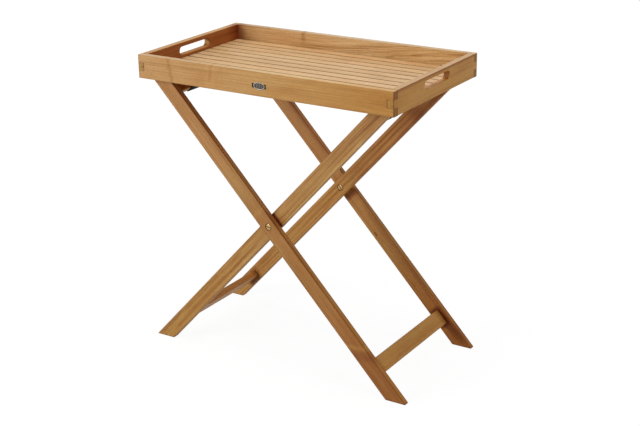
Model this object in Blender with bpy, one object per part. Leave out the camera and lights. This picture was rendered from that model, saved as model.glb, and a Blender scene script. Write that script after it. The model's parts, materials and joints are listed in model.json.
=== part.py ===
"""A tray table: a slatted serving tray with box-jointed sides on a folding X stand.

Metres, +Z up. The origin is on the floor under the middle of the stand. X runs along the tray's
long side and Y from the front to the rear. The stand has an outer frame, whose legs lean to the
left at the top, and an inner frame between its legs, which leans to the right. Both turn on two
pivot bolts, and two webbing straps between their top rails stop them from sliding apart.
"""

import math

import bmesh
import bpy
from mathutils import Matrix, Vector

# Shared fits
FIT_GAP = 0.0003
CUT_OVERRUN = 0.004
EDGE_SEGMENTS = 2
ARC_SEGMENTS = 10
ROUND_SEGMENTS = 32
PARALLEL_SHARE = 0.99

# Tray
TABLE_HEIGHT = 0.756
TRAY_LENGTH = 0.700
TRAY_WIDTH = 0.406
RIM_HEIGHT = 0.0575
BOARD_THICKNESS = 0.017
BOARD_EASE = 0.0012
FINGER_COUNT = 3
RIM_ABOVE_SLATS = 0.038
SLAT_COUNT = 12
SLAT_THICKNESS = 0.009
SLAT_GAP = 0.0035
SLAT_EASE = 0.0009
TONGUE_LENGTH = 0.006
TONGUE_THICKNESS = 0.005
TONGUE_SHOULDER = 0.002
HAND_HOLE_LENGTH = 0.122
HAND_HOLE_HEIGHT = 0.020
HAND_HOLE_DROP = 0.0108
HAND_HOLE_EASE = 0.0018
BATTEN_WIDTH = 0.030
BATTEN_THICKNESS = 0.007
BATTEN_REACH = 0.190

# Plate on the front board
PLATE_LENGTH = 0.038
PLATE_TAB_HEIGHT = 0.010
OVAL_LENGTH = 0.033
OVAL_HEIGHT = 0.0172
PLATE_THICKNESS = 0.0016
PLATE_PROUD = 0.0004
PLATE_EASE = 0.0003
PLATE_DROP = 0.033

# Stand
PIVOT_HEIGHT = 0.3735
LEG_WIDTH = 0.039
LEG_THICKNESS = 0.0165
LEG_EASE = 0.0015
LEG_TOP_INSET = 0.0222
NOSE_CLEARANCE = 0.0015
STAND_CLEARANCE = 0.0045
STRETCHER_WIDTH = 0.041
STRETCHER_THICKNESS = 0.017
STRETCHER_EASE = 0.0015
STRETCHER_UP = 0.0914
RAIL_WIDTH = 0.041
RAIL_THICKNESS = 0.017
RAIL_EASE = 0.003
TENON_LENGTH = 0.010
TENON_THICKNESS = 0.009
TENON_SHOULDER = 0.006

# Pivots
HEAD_DIAMETER = 0.0148
HEAD_THICKNESS = 0.0024
HEAD_EASE = 0.0007
COUNTERBORE_MARGIN = 0.0013
SLEEVE_DIAMETER = 0.0085
SLEEVE_WALL = 0.0013
SHANK_LENGTH = 0.022
SLOT_WIDTH = 0.0018
SLOT_DEPTH = 0.0012
WASHER_DIAMETER = 0.020
WASHER_THICKNESS = 0.0006
BOLT_SLOT_TURN = math.radians(-14)
NUT_SLOT_TURN = math.radians(84)

# Straps
STRAP_WIDTH = 0.050
STRAP_THICKNESS = 0.0018
STRAP_INSET = 0.030
STRAP_CLEARANCE = 0.0028
STRAP_TAIL = 0.022
STRAP_ARC_STEPS = 4

# Worked out from the sizes above
TRAY_BOTTOM = TABLE_HEIGHT - RIM_HEIGHT
SLAT_TOP = TABLE_HEIGHT - RIM_ABOVE_SLATS
SLAT_BOTTOM = SLAT_TOP - SLAT_THICKNESS
BATTEN_TOP = SLAT_BOTTOM - FIT_GAP
BATTEN_BOTTOM = BATTEN_TOP - BATTEN_THICKNESS
TONGUE_BOTTOM = SLAT_BOTTOM + (SLAT_THICKNESS - TONGUE_THICKNESS) / 2
TONGUE_TOP = TONGUE_BOTTOM + TONGUE_THICKNESS
INSIDE_LENGTH = TRAY_LENGTH - 2 * BOARD_THICKNESS
INSIDE_WIDTH = TRAY_WIDTH - 2 * BOARD_THICKNESS
FINGER_HEIGHT = RIM_HEIGHT / FINGER_COUNT

LEG_TOP = SLAT_BOTTOM - FIT_GAP
LEG_RISE = LEG_TOP - PIVOT_HEIGHT
LEG_RUN = INSIDE_LENGTH / 2 - LEG_TOP_INSET
LEG_ANGLE = math.atan2(LEG_RISE, LEG_RUN)
LEG_COSINE = math.cos(LEG_ANGLE)
LEG_SINE = math.sin(LEG_ANGLE)
LEG_GAP = WASHER_THICKNESS + 2 * FIT_GAP

OUTER_LEG_OUTSIDE = INSIDE_WIDTH / 2 - STAND_CLEARANCE
OUTER_LEG_INSIDE = OUTER_LEG_OUTSIDE - LEG_THICKNESS
INNER_LEG_OUTSIDE = OUTER_LEG_INSIDE - LEG_GAP
INNER_LEG_INSIDE = INNER_LEG_OUTSIDE - LEG_THICKNESS

STRETCHER_ALONG = STRETCHER_UP - PIVOT_HEIGHT / LEG_SINE
RAIL_CORNER_RISE = RAIL_WIDTH / 2 * LEG_SINE + RAIL_THICKNESS / 2 * LEG_COSINE
RAIL_TOP = BATTEN_BOTTOM - STRAP_CLEARANCE - STRAP_THICKNESS - FIT_GAP
RAIL_ALONG = (RAIL_TOP - RAIL_CORNER_RISE - PIVOT_HEIGHT) / LEG_SINE

# The outer frame leans to the left going up, the inner frame to the right
OUTER_LEAN = -1
INNER_LEAN = 1
FRONT = -1
REAR = 1

WOOD_TRAY = ("tray_wood", (0.60, 0.36, 0.16), 0.55, 0.0)
WOOD_END = ("tray_end_wood", (0.52, 0.33, 0.14), 0.55, 0.0)
WOOD_LEG = ("leg_wood", (0.42, 0.20, 0.08), 0.55, 0.0)
BRASS = ("brass", (0.72, 0.53, 0.22), 0.30, 1.0)
PLATE_METAL = ("plate_metal", (0.55, 0.55, 0.56), 0.35, 1.0)
WEBBING = ("black_webbing", (0.02, 0.02, 0.02), 0.85, 0.0)


def clear_scene():
    """Take away whatever the open file holds."""
    for thing in list(bpy.data.objects):
        bpy.data.objects.remove(thing, do_unlink=True)


def material(finish):
    """The Principled BSDF material of a finish, made once."""
    name, colour, roughness, metallic = finish
    if name in bpy.data.materials:
        return bpy.data.materials[name]
    made = bpy.data.materials.new(name)
    made.use_nodes = True
    shader = made.node_tree.nodes["Principled BSDF"]
    shader.inputs["Base Color"].default_value = (*colour, 1.0)
    shader.inputs["Roughness"].default_value = roughness
    shader.inputs["Metallic"].default_value = metallic
    made.diffuse_color = (*colour, 1.0)
    return made


def add_empty(name, location):
    """An empty that carries one moving group, placed on its joint's axis."""
    empty = bpy.data.objects.new(name, None)
    empty.location = location
    bpy.context.scene.collection.objects.link(empty)
    return empty


def add_object(name, shape, finish, parent):
    """Turn a bmesh into a named object under its group's empty."""
    bmesh.ops.recalc_face_normals(shape, faces=shape.faces)
    mesh = bpy.data.meshes.new(name)
    shape.to_mesh(mesh)
    shape.free()
    made = bpy.data.objects.new(name, mesh)
    made.parent = parent
    bpy.context.scene.collection.objects.link(made)
    if finish:
        mesh.materials.append(material(finish))
    return made


def add_cutter(name, shape, parent):
    """A shape that only cuts or joins others: hidden, and drawn as wire."""
    cutter = add_object(name, shape, None, parent)
    cutter.hide_render = True
    cutter.display_type = "WIRE"
    return cutter


def combine(target, tool, operation="DIFFERENCE"):
    """Cut a tool out of the target, or join it on."""
    step = target.modifiers.new(tool.name, "BOOLEAN")
    step.object = tool
    step.operation = operation
    step.solver = "EXACT"


def shade_round(thing):
    """Smooth shading with sharp edges kept, for turned pieces."""
    thing.data.shade_smooth()
    thing.data.set_sharp_from_angle(angle=math.radians(35))


def loft(rings):
    """A closed solid through rings of points that correspond, capped at both ends."""
    shape = bmesh.new()
    loops = [[shape.verts.new(point) for point in ring] for ring in rings]
    for lower, upper in zip(loops, loops[1:]):
        for index, corner in enumerate(lower):
            beside = (index + 1) % len(lower)
            shape.faces.new((corner, lower[beside], upper[beside], upper[index]))
    shape.faces.new(loops[0])
    shape.faces.new(loops[-1])
    return shape


def boxes(spans):
    """Separate boxes in one shape, each between its lowest and highest corner."""
    shape = bmesh.new()
    for low, high in spans:
        size = Vector(high) - Vector(low)
        centre = (Vector(high) + Vector(low)) / 2
        place = Matrix.Translation(centre) @ Matrix.Diagonal((*size, 1))
        bmesh.ops.create_cube(shape, size=1, matrix=place)
    return shape


def box(low, high):
    """One box between two opposite corners."""
    return boxes([(low, high)])


def prism(outline, near, far):
    """An outline of (x, z) points carried along Y from near to far."""
    return loft([[(x, y, z) for x, z in outline] for y in (near, far)])


def turned(profile):
    """A round solid about the Y axis through (radius, y) steps, with flat ends."""
    steps = [math.tau * index / ROUND_SEGMENTS for index in range(ROUND_SEGMENTS)]
    rings = []
    for radius, along in profile:
        rings.append([(radius * math.cos(a), along, radius * math.sin(a)) for a in steps])
    return loft(rings)


def ease(shape, radius, chosen):
    """Round over the edges of a shape that the test picks out."""
    edges = [edge for edge in shape.edges if chosen(edge)]
    bmesh.ops.bevel(
        shape, geom=edges, offset=radius, segments=EDGE_SEGMENTS, profile=0.5, affect="EDGES"
    )


def runs_along(edge, axis):
    """Whether an edge is parallel to an axis, 0 for X, 1 for Y and 2 for Z."""
    step = edge.verts[1].co - edge.verts[0].co
    return abs(step[axis]) > PARALLEL_SHARE * step.length


def every_edge(edge):
    """Choose all the edges."""
    return True


def frame_point(lean, along, across):
    """The (x, z) place, from the pivot, of a point in a frame that leans to one side.

    along runs up the legs, and across runs square to them, towards the side that faces down.
    """
    x = lean * (along * LEG_COSINE + across * LEG_SINE)
    z = along * LEG_SINE - across * LEG_COSINE
    return x, z


def frame_bar(lean, along, width, thickness, reach):
    """A cross bar of a frame, centred on the legs, that reaches alike to the front and rear."""
    corners = []
    for end, side in ((-1, -1), (1, -1), (1, 1), (-1, 1)):
        corners.append(frame_point(lean, along + end * width / 2, side * thickness / 2))
    return prism(corners, -reach, reach)


def stadium(length, height):
    """Points of a slot with half-round ends, anticlockwise from its lower right."""
    radius = height / 2
    straight = length / 2 - radius
    points = []
    for side, start in ((1, -math.pi / 2), (-1, math.pi / 2)):
        for index in range(ARC_SEGMENTS + 1):
            angle = start + math.pi * index / ARC_SEGMENTS
            points.append((side * straight + radius * math.cos(angle), radius * math.sin(angle)))
    return points


def notch_for_fingers(board, parity, spans, parent):
    """Notch a board's ends for its neighbours' fingers, which are all of one parity.

    Fingers are counted from the bottom. A span is a notch's low and high corner in X and Y.
    """
    notches = []
    for low, high in spans:
        for index in range(parity, FINGER_COUNT, 2):
            bottom = TRAY_BOTTOM + index * FINGER_HEIGHT - FIT_GAP / 2
            top = bottom + FINGER_HEIGHT + FIT_GAP
            if index == 0:
                bottom -= CUT_OVERRUN
            if index == FINGER_COUNT - 1:
                top += CUT_OVERRUN
            notches.append(((*low, bottom), (*high, top)))
    combine(board, add_cutter(f"cut_{board.name}_fingers", boxes(notches), parent))


def tray_long_board(name, side, parent):
    """A long board, notched at both ends for the end boards' fingers."""
    outside = side * TRAY_WIDTH / 2
    inside = side * INSIDE_WIDTH / 2
    near, far = sorted((outside, inside))
    shape = box(
        (-TRAY_LENGTH / 2, near, TRAY_BOTTOM),
        (TRAY_LENGTH / 2, far, TABLE_HEIGHT),
    )

    def showing(edge):
        outer = all(abs(corner.co.y - outside) < FIT_GAP for corner in edge.verts)
        return runs_along(edge, 0) or (runs_along(edge, 2) and outer)

    ease(shape, BOARD_EASE, showing)
    board = add_object(name, shape, WOOD_TRAY, parent)
    spans = []
    for end in (-1, 1):
        start, stop = sorted((
            end * (INSIDE_LENGTH / 2 - FIT_GAP),
            end * (TRAY_LENGTH / 2 + CUT_OVERRUN),
        ))
        spans.append(((start, near - CUT_OVERRUN), (stop, far + CUT_OVERRUN)))
    notch_for_fingers(board, 1, spans, parent)
    return board


def hand_hole_cutter(side, parent):
    """A slot with round ends that widens at both faces, so that its rim is eased."""
    centre = TABLE_HEIGHT - HAND_HOLE_DROP - HAND_HOLE_HEIGHT / 2
    inner = INSIDE_LENGTH / 2
    outer = TRAY_LENGTH / 2
    flare = HAND_HOLE_EASE + CUT_OVERRUN
    stations = (
        (inner - CUT_OVERRUN, 2 * flare),
        (inner + HAND_HOLE_EASE, 0),
        (outer - HAND_HOLE_EASE, 0),
        (outer + CUT_OVERRUN, 2 * flare),
    )
    rings = []
    for x, wider in stations:
        outline = stadium(HAND_HOLE_LENGTH + wider, HAND_HOLE_HEIGHT + wider)
        rings.append([(side * x, y, centre + z) for y, z in outline])
    name = "cut_left_hand_hole" if side < 0 else "cut_right_hand_hole"
    return add_cutter(name, loft(rings), parent)


def tray_end_board(name, side, parent):
    """An end board with a middle finger at each end, a hand hole and the slats' groove."""
    outside = side * TRAY_LENGTH / 2
    inside = side * INSIDE_LENGTH / 2
    near, far = sorted((outside, inside))
    shape = box(
        (near, -TRAY_WIDTH / 2, TRAY_BOTTOM),
        (far, TRAY_WIDTH / 2, TABLE_HEIGHT),
    )

    def showing(edge):
        outer = all(abs(corner.co.x - outside) < FIT_GAP for corner in edge.verts)
        return runs_along(edge, 1) or (runs_along(edge, 2) and outer)

    ease(shape, BOARD_EASE, showing)
    board = add_object(name, shape, WOOD_END, parent)

    spans = []
    for end in (FRONT, REAR):
        start, stop = sorted((
            end * (INSIDE_WIDTH / 2 - FIT_GAP),
            end * (TRAY_WIDTH / 2 + CUT_OVERRUN),
        ))
        spans.append(((near - CUT_OVERRUN, start), (far + CUT_OVERRUN, stop)))
    notch_for_fingers(board, 0, spans, parent)

    groove_start, groove_stop = sorted((
        side * (INSIDE_LENGTH / 2 + TONGUE_LENGTH),
        side * (INSIDE_LENGTH / 2 - CUT_OVERRUN),
    ))
    groove = box(
        (groove_start, -INSIDE_WIDTH / 2, TONGUE_BOTTOM - FIT_GAP),
        (groove_stop, INSIDE_WIDTH / 2, TONGUE_TOP + FIT_GAP),
    )
    combine(board, add_cutter(f"cut_{name}_groove", groove, parent))
    combine(board, hand_hole_cutter(side, parent))
    return board


def slat_section(width, thickness):
    """A slat's cross-section as (y, z) points about its middle, with its corners rounded."""
    points = []
    for turn, (side, rise) in enumerate(((1, 1), (-1, 1), (-1, -1), (1, -1))):
        y = side * (width / 2 - SLAT_EASE)
        z = rise * (thickness / 2 - SLAT_EASE)
        for index in range(EDGE_SEGMENTS + 1):
            angle = math.pi / 2 * (turn + index / EDGE_SEGMENTS)
            points.append((y + SLAT_EASE * math.cos(angle), z + SLAT_EASE * math.sin(angle)))
    return points


def slat_half(width):
    """Half a slat as (x, section) from its middle to the tip of its tongue.

    The body stops just short of the end board, with its shoulder rounded, and a thinner tongue
    goes on into the board's groove.
    """
    shoulder = INSIDE_LENGTH / 2 - FIT_GAP
    tip = INSIDE_LENGTH / 2 + TONGUE_LENGTH - FIT_GAP
    half = []
    for index in range(EDGE_SEGMENTS + 1):
        angle = math.pi / 2 * index / EDGE_SEGMENTS
        x = shoulder - SLAT_EASE * (1 - math.sin(angle))
        inset = SLAT_EASE * (1 - math.cos(angle))
        half.append((x, slat_section(width - 2 * inset, SLAT_THICKNESS - 2 * inset)))
    tongue = slat_section(width - 2 * TONGUE_SHOULDER, TONGUE_THICKNESS)
    return half + [(shoulder, tongue), (tip, tongue)]


def tray_slats(parent):
    """The floor: equal slats along X, with their tongues in the end boards' grooves."""
    pitch = INSIDE_WIDTH / SLAT_COUNT
    half = slat_half(pitch - SLAT_GAP)
    stations = [(-x, section) for x, section in reversed(half)] + half
    middle = (SLAT_TOP + SLAT_BOTTOM) / 2
    for index in range(SLAT_COUNT):
        centre = -INSIDE_WIDTH / 2 + pitch * (index + 0.5)
        rings = []
        for x, section in stations:
            rings.append([(x, centre + y, middle + z) for y, z in section])
        add_object(f"slat_{index + 1:02d}", loft(rings), WOOD_TRAY, parent)


def tray_battens(parent):
    """Two cross battens under the slats that keep them level with each other."""
    reach = INSIDE_WIDTH / 2 - FIT_GAP
    for side, name in ((-1, "tray_batten_left"), (1, "tray_batten_right")):
        centre = side * BATTEN_REACH
        shape = box(
            (centre - BATTEN_WIDTH / 2, -reach, BATTEN_BOTTOM),
            (centre + BATTEN_WIDTH / 2, reach, BATTEN_TOP),
        )
        ease(shape, SLAT_EASE, every_edge)
        add_object(name, shape, WOOD_TRAY, parent)


def plate_outline(margin):
    """An oval between two square tabs, grown by a margin on every side."""
    tab_x = PLATE_LENGTH / 2 + margin
    tab_z = PLATE_TAB_HEIGHT / 2 + margin
    oval_x = OVAL_LENGTH / 2 + margin
    oval_z = OVAL_HEIGHT / 2 + margin
    meeting = math.asin(tab_z / oval_z)
    points = [(tab_x, -tab_z), (tab_x, tab_z)]
    for index in range(ARC_SEGMENTS + 1):
        angle = meeting + (math.pi - 2 * meeting) * index / ARC_SEGMENTS
        points.append((oval_x * math.cos(angle), oval_z * math.sin(angle)))
    points += [(-tab_x, tab_z), (-tab_x, -tab_z)]
    for index in range(ARC_SEGMENTS + 1):
        angle = math.pi + meeting + (math.pi - 2 * meeting) * index / ARC_SEGMENTS
        points.append((oval_x * math.cos(angle), oval_z * math.sin(angle)))
    return points


def front_plate(front_board, parent):
    """A plain metal plate, let into a shallow pocket in the front board."""
    centre_z = TABLE_HEIGHT - PLATE_DROP
    board_face = -TRAY_WIDTH / 2
    front = board_face - PLATE_PROUD
    back = front + PLATE_THICKNESS
    stations = ((0, back), (0, front + PLATE_EASE), (-PLATE_EASE, front))
    rings = []
    for margin, y in stations:
        rings.append([(x, y, centre_z + z) for x, z in plate_outline(margin)])
    add_object("front_plate", loft(rings), PLATE_METAL, parent)
    pocket_outline = [(x, centre_z + z) for x, z in plate_outline(FIT_GAP)]
    pocket = prism(pocket_outline, board_face - CUT_OVERRUN, back + FIT_GAP)
    combine(front_board, add_cutter("cut_plate_pocket", pocket, parent))


def leg_outline(lean):
    """A leg seen from the front, from the pivot: level at both ends, with a plumb nose on top."""
    half_level = LEG_WIDTH / 2 / LEG_SINE
    slope = LEG_RISE / LEG_RUN
    foot_x = -PIVOT_HEIGHT / slope
    nose_x = INSIDE_LENGTH / 2 - NOSE_CLEARANCE
    points = [(foot_x - half_level, -PIVOT_HEIGHT), (foot_x + half_level, -PIVOT_HEIGHT)]
    if LEG_RUN + half_level > nose_x:
        points.append((nose_x, (nose_x - half_level) * slope))
        points.append((nose_x, LEG_RISE))
    else:
        points.append((LEG_RUN + half_level, LEG_RISE))
    points.append((LEG_RUN - half_level, LEG_RISE))
    return [(lean * x, z) for x, z in points]


def stand_legs(group, lean, inside, outside, parent):
    """The front and rear leg of one frame."""
    legs = []
    for side, place in ((FRONT, "front"), (REAR, "rear")):
        near, far = sorted((side * inside, side * outside))
        shape = prism(leg_outline(lean), near, far)
        ease(shape, LEG_EASE, every_edge)
        legs.append(add_object(f"{group}_leg_{place}", shape, WOOD_LEG, parent))
    return legs


def cross_bar(name, group, lean, along, sizes, inside, parent, legs):
    """A bar tenoned into both legs of a frame, which are mortised for it."""
    width, thickness, rounding = sizes
    bar = frame_bar(lean, along, width, thickness, inside - FIT_GAP)
    ease(bar, rounding, every_edge)
    made = add_object(name, bar, WOOD_LEG, parent)
    tenon_width = width - 2 * TENON_SHOULDER
    tenon_reach = inside + TENON_LENGTH
    tenon = frame_bar(lean, along, tenon_width, TENON_THICKNESS, tenon_reach)
    combine(made, add_cutter(f"join_{name}_tenon", tenon, parent), "UNION")
    mortise = frame_bar(
        lean,
        along,
        tenon_width + 2 * FIT_GAP,
        TENON_THICKNESS + 2 * FIT_GAP,
        tenon_reach + FIT_GAP,
    )
    cutter = add_cutter(f"cut_{name}_mortise", mortise, parent)
    for leg in legs:
        combine(leg, cutter)


def stand_frame(group, lean, inside, outside, parent):
    """One frame of the stand: two legs, a low stretcher and a top rail."""
    legs = stand_legs(group, lean, inside, outside, parent)
    stretcher = (STRETCHER_WIDTH, STRETCHER_THICKNESS, STRETCHER_EASE)
    cross_bar(f"{group}_stretcher", group, lean, STRETCHER_ALONG, stretcher, inside, parent, legs)
    rail = (RAIL_WIDTH, RAIL_THICKNESS, RAIL_EASE)
    cross_bar(f"{group}_top_rail", group, lean, RAIL_ALONG, rail, inside, parent, legs)
    return legs


def slot_cutter(name, side, face, turn, parent):
    """A screwdriver slot across a head, sunk from its outer face."""
    across = HEAD_DIAMETER / 2 + CUT_OVERRUN
    near, far = sorted((face - side * SLOT_DEPTH, face + side * CUT_OVERRUN))
    shape = box((-across, near, -SLOT_WIDTH / 2), (across, far, SLOT_WIDTH / 2))
    bmesh.ops.rotate(shape, verts=shape.verts, matrix=Matrix.Rotation(turn, 3, "Y"))
    return add_cutter(name, shape, parent)


def pivot(side, place, outer_leg, inner_leg, parent):
    """A bolt, its sleeve nut and a washer, and the stepped hole through both legs.

    Depths are counted from the middle of the stand outwards, and side makes them front or rear.
    """
    bolt_face = OUTER_LEG_OUTSIDE
    nut_face = INNER_LEG_INSIDE
    head = HEAD_DIAMETER / 2
    sleeve = SLEEVE_DIAMETER / 2
    bore = sleeve - SLEEVE_WALL
    shank = bore - FIT_GAP
    bolt_under = bolt_face - HEAD_THICKNESS
    nut_under = nut_face + HEAD_THICKNESS
    seat_depth = HEAD_THICKNESS + FIT_GAP

    bolt = turned([
        (head - HEAD_EASE, side * bolt_face),
        (head, side * (bolt_face - HEAD_EASE)),
        (head, side * bolt_under),
        (shank, side * bolt_under),
        (shank, side * (bolt_under - SHANK_LENGTH)),
    ])
    bolt = add_object(f"pivot_bolt_{place}", bolt, BRASS, parent)
    shade_round(bolt)
    slot = slot_cutter(f"cut_bolt_slot_{place}", side, side * bolt_face, BOLT_SLOT_TURN, parent)
    combine(bolt, slot)

    sleeve_end = bolt_under - FIT_GAP
    bore_end = bolt_under - SHANK_LENGTH - FIT_GAP
    nut = turned([
        (head - HEAD_EASE, side * nut_face),
        (head, side * (nut_face + HEAD_EASE)),
        (head, side * nut_under),
        (sleeve, side * nut_under),
        (sleeve, side * sleeve_end),
        (bore, side * sleeve_end),
        (bore, side * bore_end),
    ])
    nut = add_object(f"sleeve_nut_{place}", nut, BRASS, parent)
    shade_round(nut)
    slot = slot_cutter(f"cut_nut_slot_{place}", -side, side * nut_face, NUT_SLOT_TURN, parent)
    combine(nut, slot)

    hole = sleeve + FIT_GAP
    washer = turned([
        (WASHER_DIAMETER / 2, side * (INNER_LEG_OUTSIDE + FIT_GAP)),
        (WASHER_DIAMETER / 2, side * (OUTER_LEG_INSIDE - FIT_GAP)),
    ])
    washer = add_object(f"pivot_washer_{place}", washer, BRASS, parent)
    shade_round(washer)
    counterbore = head + COUNTERBORE_MARGIN
    stepped = turned([
        (counterbore, side * (bolt_face + CUT_OVERRUN)),
        (counterbore, side * (bolt_face - seat_depth)),
        (hole, side * (bolt_face - seat_depth)),
        (hole, side * (nut_face + seat_depth)),
        (counterbore, side * (nut_face + seat_depth)),
        (counterbore, side * (nut_face - CUT_OVERRUN)),
    ])
    stepped = add_cutter(f"cut_pivot_hole_{place}", stepped, parent)
    for pierced in (outer_leg, inner_leg, washer):
        combine(pierced, stepped)


def strap_route():
    """The right half of a strap's middle line, seen from the front, as (x, z) and its normal.

    It starts at the middle of the span, runs level to the right rail's highest corner, and goes
    round the rail's outer side and lower edge to a tail on its inner face. Each corner is an arc
    about the middle of the rail's own rounded edge.
    """
    bend = RAIL_EASE + FIT_GAP + STRAP_THICKNESS / 2
    along = RAIL_WIDTH / 2 - RAIL_EASE
    across = RAIL_THICKNESS / 2 - RAIL_EASE
    up_leg = LEG_ANGLE
    quarter = math.pi / 2
    corners = (
        (along, -across, quarter, up_leg),
        (along, across, up_leg, up_leg - quarter),
        (-along, across, up_leg - quarter, up_leg - 2 * quarter),
        (-along, -across, up_leg - 2 * quarter, up_leg - 3 * quarter),
    )
    route = []
    for corner_along, corner_across, start, stop in corners:
        x, z = frame_point(INNER_LEAN, RAIL_ALONG + corner_along, corner_across)
        for index in range(STRAP_ARC_STEPS + 1):
            angle = start + (stop - start) * index / STRAP_ARC_STEPS
            normal = (math.cos(angle), math.sin(angle))
            route.append(((x + bend * normal[0], z + bend * normal[1]), normal))
    (x, z), normal = route[-1]
    tail = (x + STRAP_TAIL * LEG_COSINE, z + STRAP_TAIL * LEG_SINE)
    route.append((tail, normal))
    middle = ((0, route[0][0][1]), (0, 1))
    return [middle] + route


def strap(place, side, parent):
    """A webbing strap between the top rails, wrapped round each of them."""
    half = strap_route()
    mirrored = [((-x, z), (-nx, nz)) for (x, z), (nx, nz) in reversed(half[1:])]
    near, far = sorted((
        side * (INNER_LEG_INSIDE - STRAP_INSET),
        side * (INNER_LEG_INSIDE - STRAP_INSET - STRAP_WIDTH),
    ))
    rings = []
    for (x, z), (nx, nz) in mirrored + half:
        out = STRAP_THICKNESS / 2
        rings.append([
            (x + nx * out, near, z + nz * out),
            (x + nx * out, far, z + nz * out),
            (x - nx * out, far, z - nz * out),
            (x - nx * out, near, z - nz * out),
        ])
    add_object(f"strap_{place}", loft(rings), WEBBING, parent)


def build():
    """Make every piece of the table."""
    clear_scene()
    tray = add_empty("tray_group", (0, 0, 0))
    outer = add_empty("outer_frame_group", (0, 0, PIVOT_HEIGHT))
    inner = add_empty("inner_frame_group", (0, 0, PIVOT_HEIGHT))

    front_board = tray_long_board("tray_front_board", FRONT, tray)
    tray_long_board("tray_rear_board", REAR, tray)
    tray_end_board("tray_left_end", -1, tray)
    tray_end_board("tray_right_end", 1, tray)
    tray_slats(tray)
    tray_battens(tray)
    front_plate(front_board, tray)

    outer_legs = stand_frame("outer", OUTER_LEAN, OUTER_LEG_INSIDE, OUTER_LEG_OUTSIDE, outer)
    inner_legs = stand_frame("inner", INNER_LEAN, INNER_LEG_INSIDE, INNER_LEG_OUTSIDE, inner)
    for index, (side, place) in enumerate(((FRONT, "front"), (REAR, "rear"))):
        pivot(side, place, outer_legs[index], inner_legs[index], outer)
        strap(place, side, outer)


build()
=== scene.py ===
# %% [markdown]
# # A tray table in oiled teak
#
# The table is a loose serving tray on a stand that folds like scissors. The tray is a box of four
# boards, finger-jointed at the corners, with a floor of twelve slats. The stand is two frames that
# turn on a pair of brass sleeve bolts, and two webbing straps stop the frames from sliding apart.
#
# The packed model already holds every piece of wood and metal at its real size, so this lesson is
# about finishes: how a board gets its growth rings, how end grain differs from a face, how webbing
# is woven, and how plain studio light shows all that.

# %% Load the fixed model
import json
import math

import bmesh
import bpy
import numpy as np
from mathutils import Matrix, Vector


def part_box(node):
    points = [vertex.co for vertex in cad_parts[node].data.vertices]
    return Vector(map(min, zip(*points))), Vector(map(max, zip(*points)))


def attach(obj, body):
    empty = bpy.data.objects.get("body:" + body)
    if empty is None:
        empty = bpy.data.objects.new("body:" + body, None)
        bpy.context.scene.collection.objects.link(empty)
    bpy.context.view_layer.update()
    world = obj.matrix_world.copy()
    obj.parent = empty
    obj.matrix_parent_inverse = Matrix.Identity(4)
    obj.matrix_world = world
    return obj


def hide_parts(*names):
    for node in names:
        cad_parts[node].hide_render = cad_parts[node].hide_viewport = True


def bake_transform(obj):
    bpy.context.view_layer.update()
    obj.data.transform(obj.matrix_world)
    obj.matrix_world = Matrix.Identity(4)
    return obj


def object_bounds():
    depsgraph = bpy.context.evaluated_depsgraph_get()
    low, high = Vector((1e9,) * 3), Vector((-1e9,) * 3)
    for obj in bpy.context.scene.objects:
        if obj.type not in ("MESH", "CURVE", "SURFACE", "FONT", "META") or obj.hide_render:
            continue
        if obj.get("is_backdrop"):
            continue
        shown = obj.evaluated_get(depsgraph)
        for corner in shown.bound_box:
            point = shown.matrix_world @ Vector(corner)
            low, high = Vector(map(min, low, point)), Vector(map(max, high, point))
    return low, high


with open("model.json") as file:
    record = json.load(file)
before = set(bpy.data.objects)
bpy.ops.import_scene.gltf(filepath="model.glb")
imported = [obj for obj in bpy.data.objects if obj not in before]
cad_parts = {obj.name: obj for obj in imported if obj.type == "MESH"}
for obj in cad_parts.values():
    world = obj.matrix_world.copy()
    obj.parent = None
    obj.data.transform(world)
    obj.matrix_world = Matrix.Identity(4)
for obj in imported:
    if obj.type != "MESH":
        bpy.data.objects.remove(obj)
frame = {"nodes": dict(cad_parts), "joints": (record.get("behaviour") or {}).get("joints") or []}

CAD_LOW, CAD_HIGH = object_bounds()
NODES = frame["nodes"]
print("box of the model in metres:", [round(high - low, 4) for low, high in zip(CAD_LOW, CAD_HIGH)])

# %% [markdown]
# ## The camera
#
# The photograph is a picture of known pixels, so the camera could be placed by eye and nudged. It
# was solved instead: the corners of the tray and the feet are known in metres and in pixels, and
# one place, direction and focal length brings them within about a pixel. The focal length is kept
# in pixels, and Blender wants it in millimetres on its sensor.

# %% Place the camera
PHOTO_WIDTH_PIXELS = 640
FOCAL_LENGTH_PIXELS = 1349.25
SENSOR_WIDTH = 36.0
CAMERA_PLACE = (1.7038, -2.6423, 1.5119)
CAMERA_YAW = math.radians(32.34)
CAMERA_PITCH = math.radians(20.268)
CAMERA_ROLL = math.radians(-0.823)


def camera_matrix():
    """The camera's axes as columns: to the right, up, and back towards the viewer.

    Yaw turns the view about the vertical from +Y towards -X, pitch tips it down, and roll turns
    the picture about the line of sight.
    """
    ahead = Vector((
        -math.sin(CAMERA_YAW) * math.cos(CAMERA_PITCH),
        math.cos(CAMERA_YAW) * math.cos(CAMERA_PITCH),
        -math.sin(CAMERA_PITCH),
    ))
    level = Vector((math.cos(CAMERA_YAW), math.sin(CAMERA_YAW), 0))
    upright = level.cross(ahead)
    right = math.cos(CAMERA_ROLL) * level + math.sin(CAMERA_ROLL) * upright
    up = math.cos(CAMERA_ROLL) * upright - math.sin(CAMERA_ROLL) * level
    turned_axes = Matrix((right, up, -ahead)).transposed().to_4x4()
    return Matrix.Translation(CAMERA_PLACE) @ turned_axes


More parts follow.
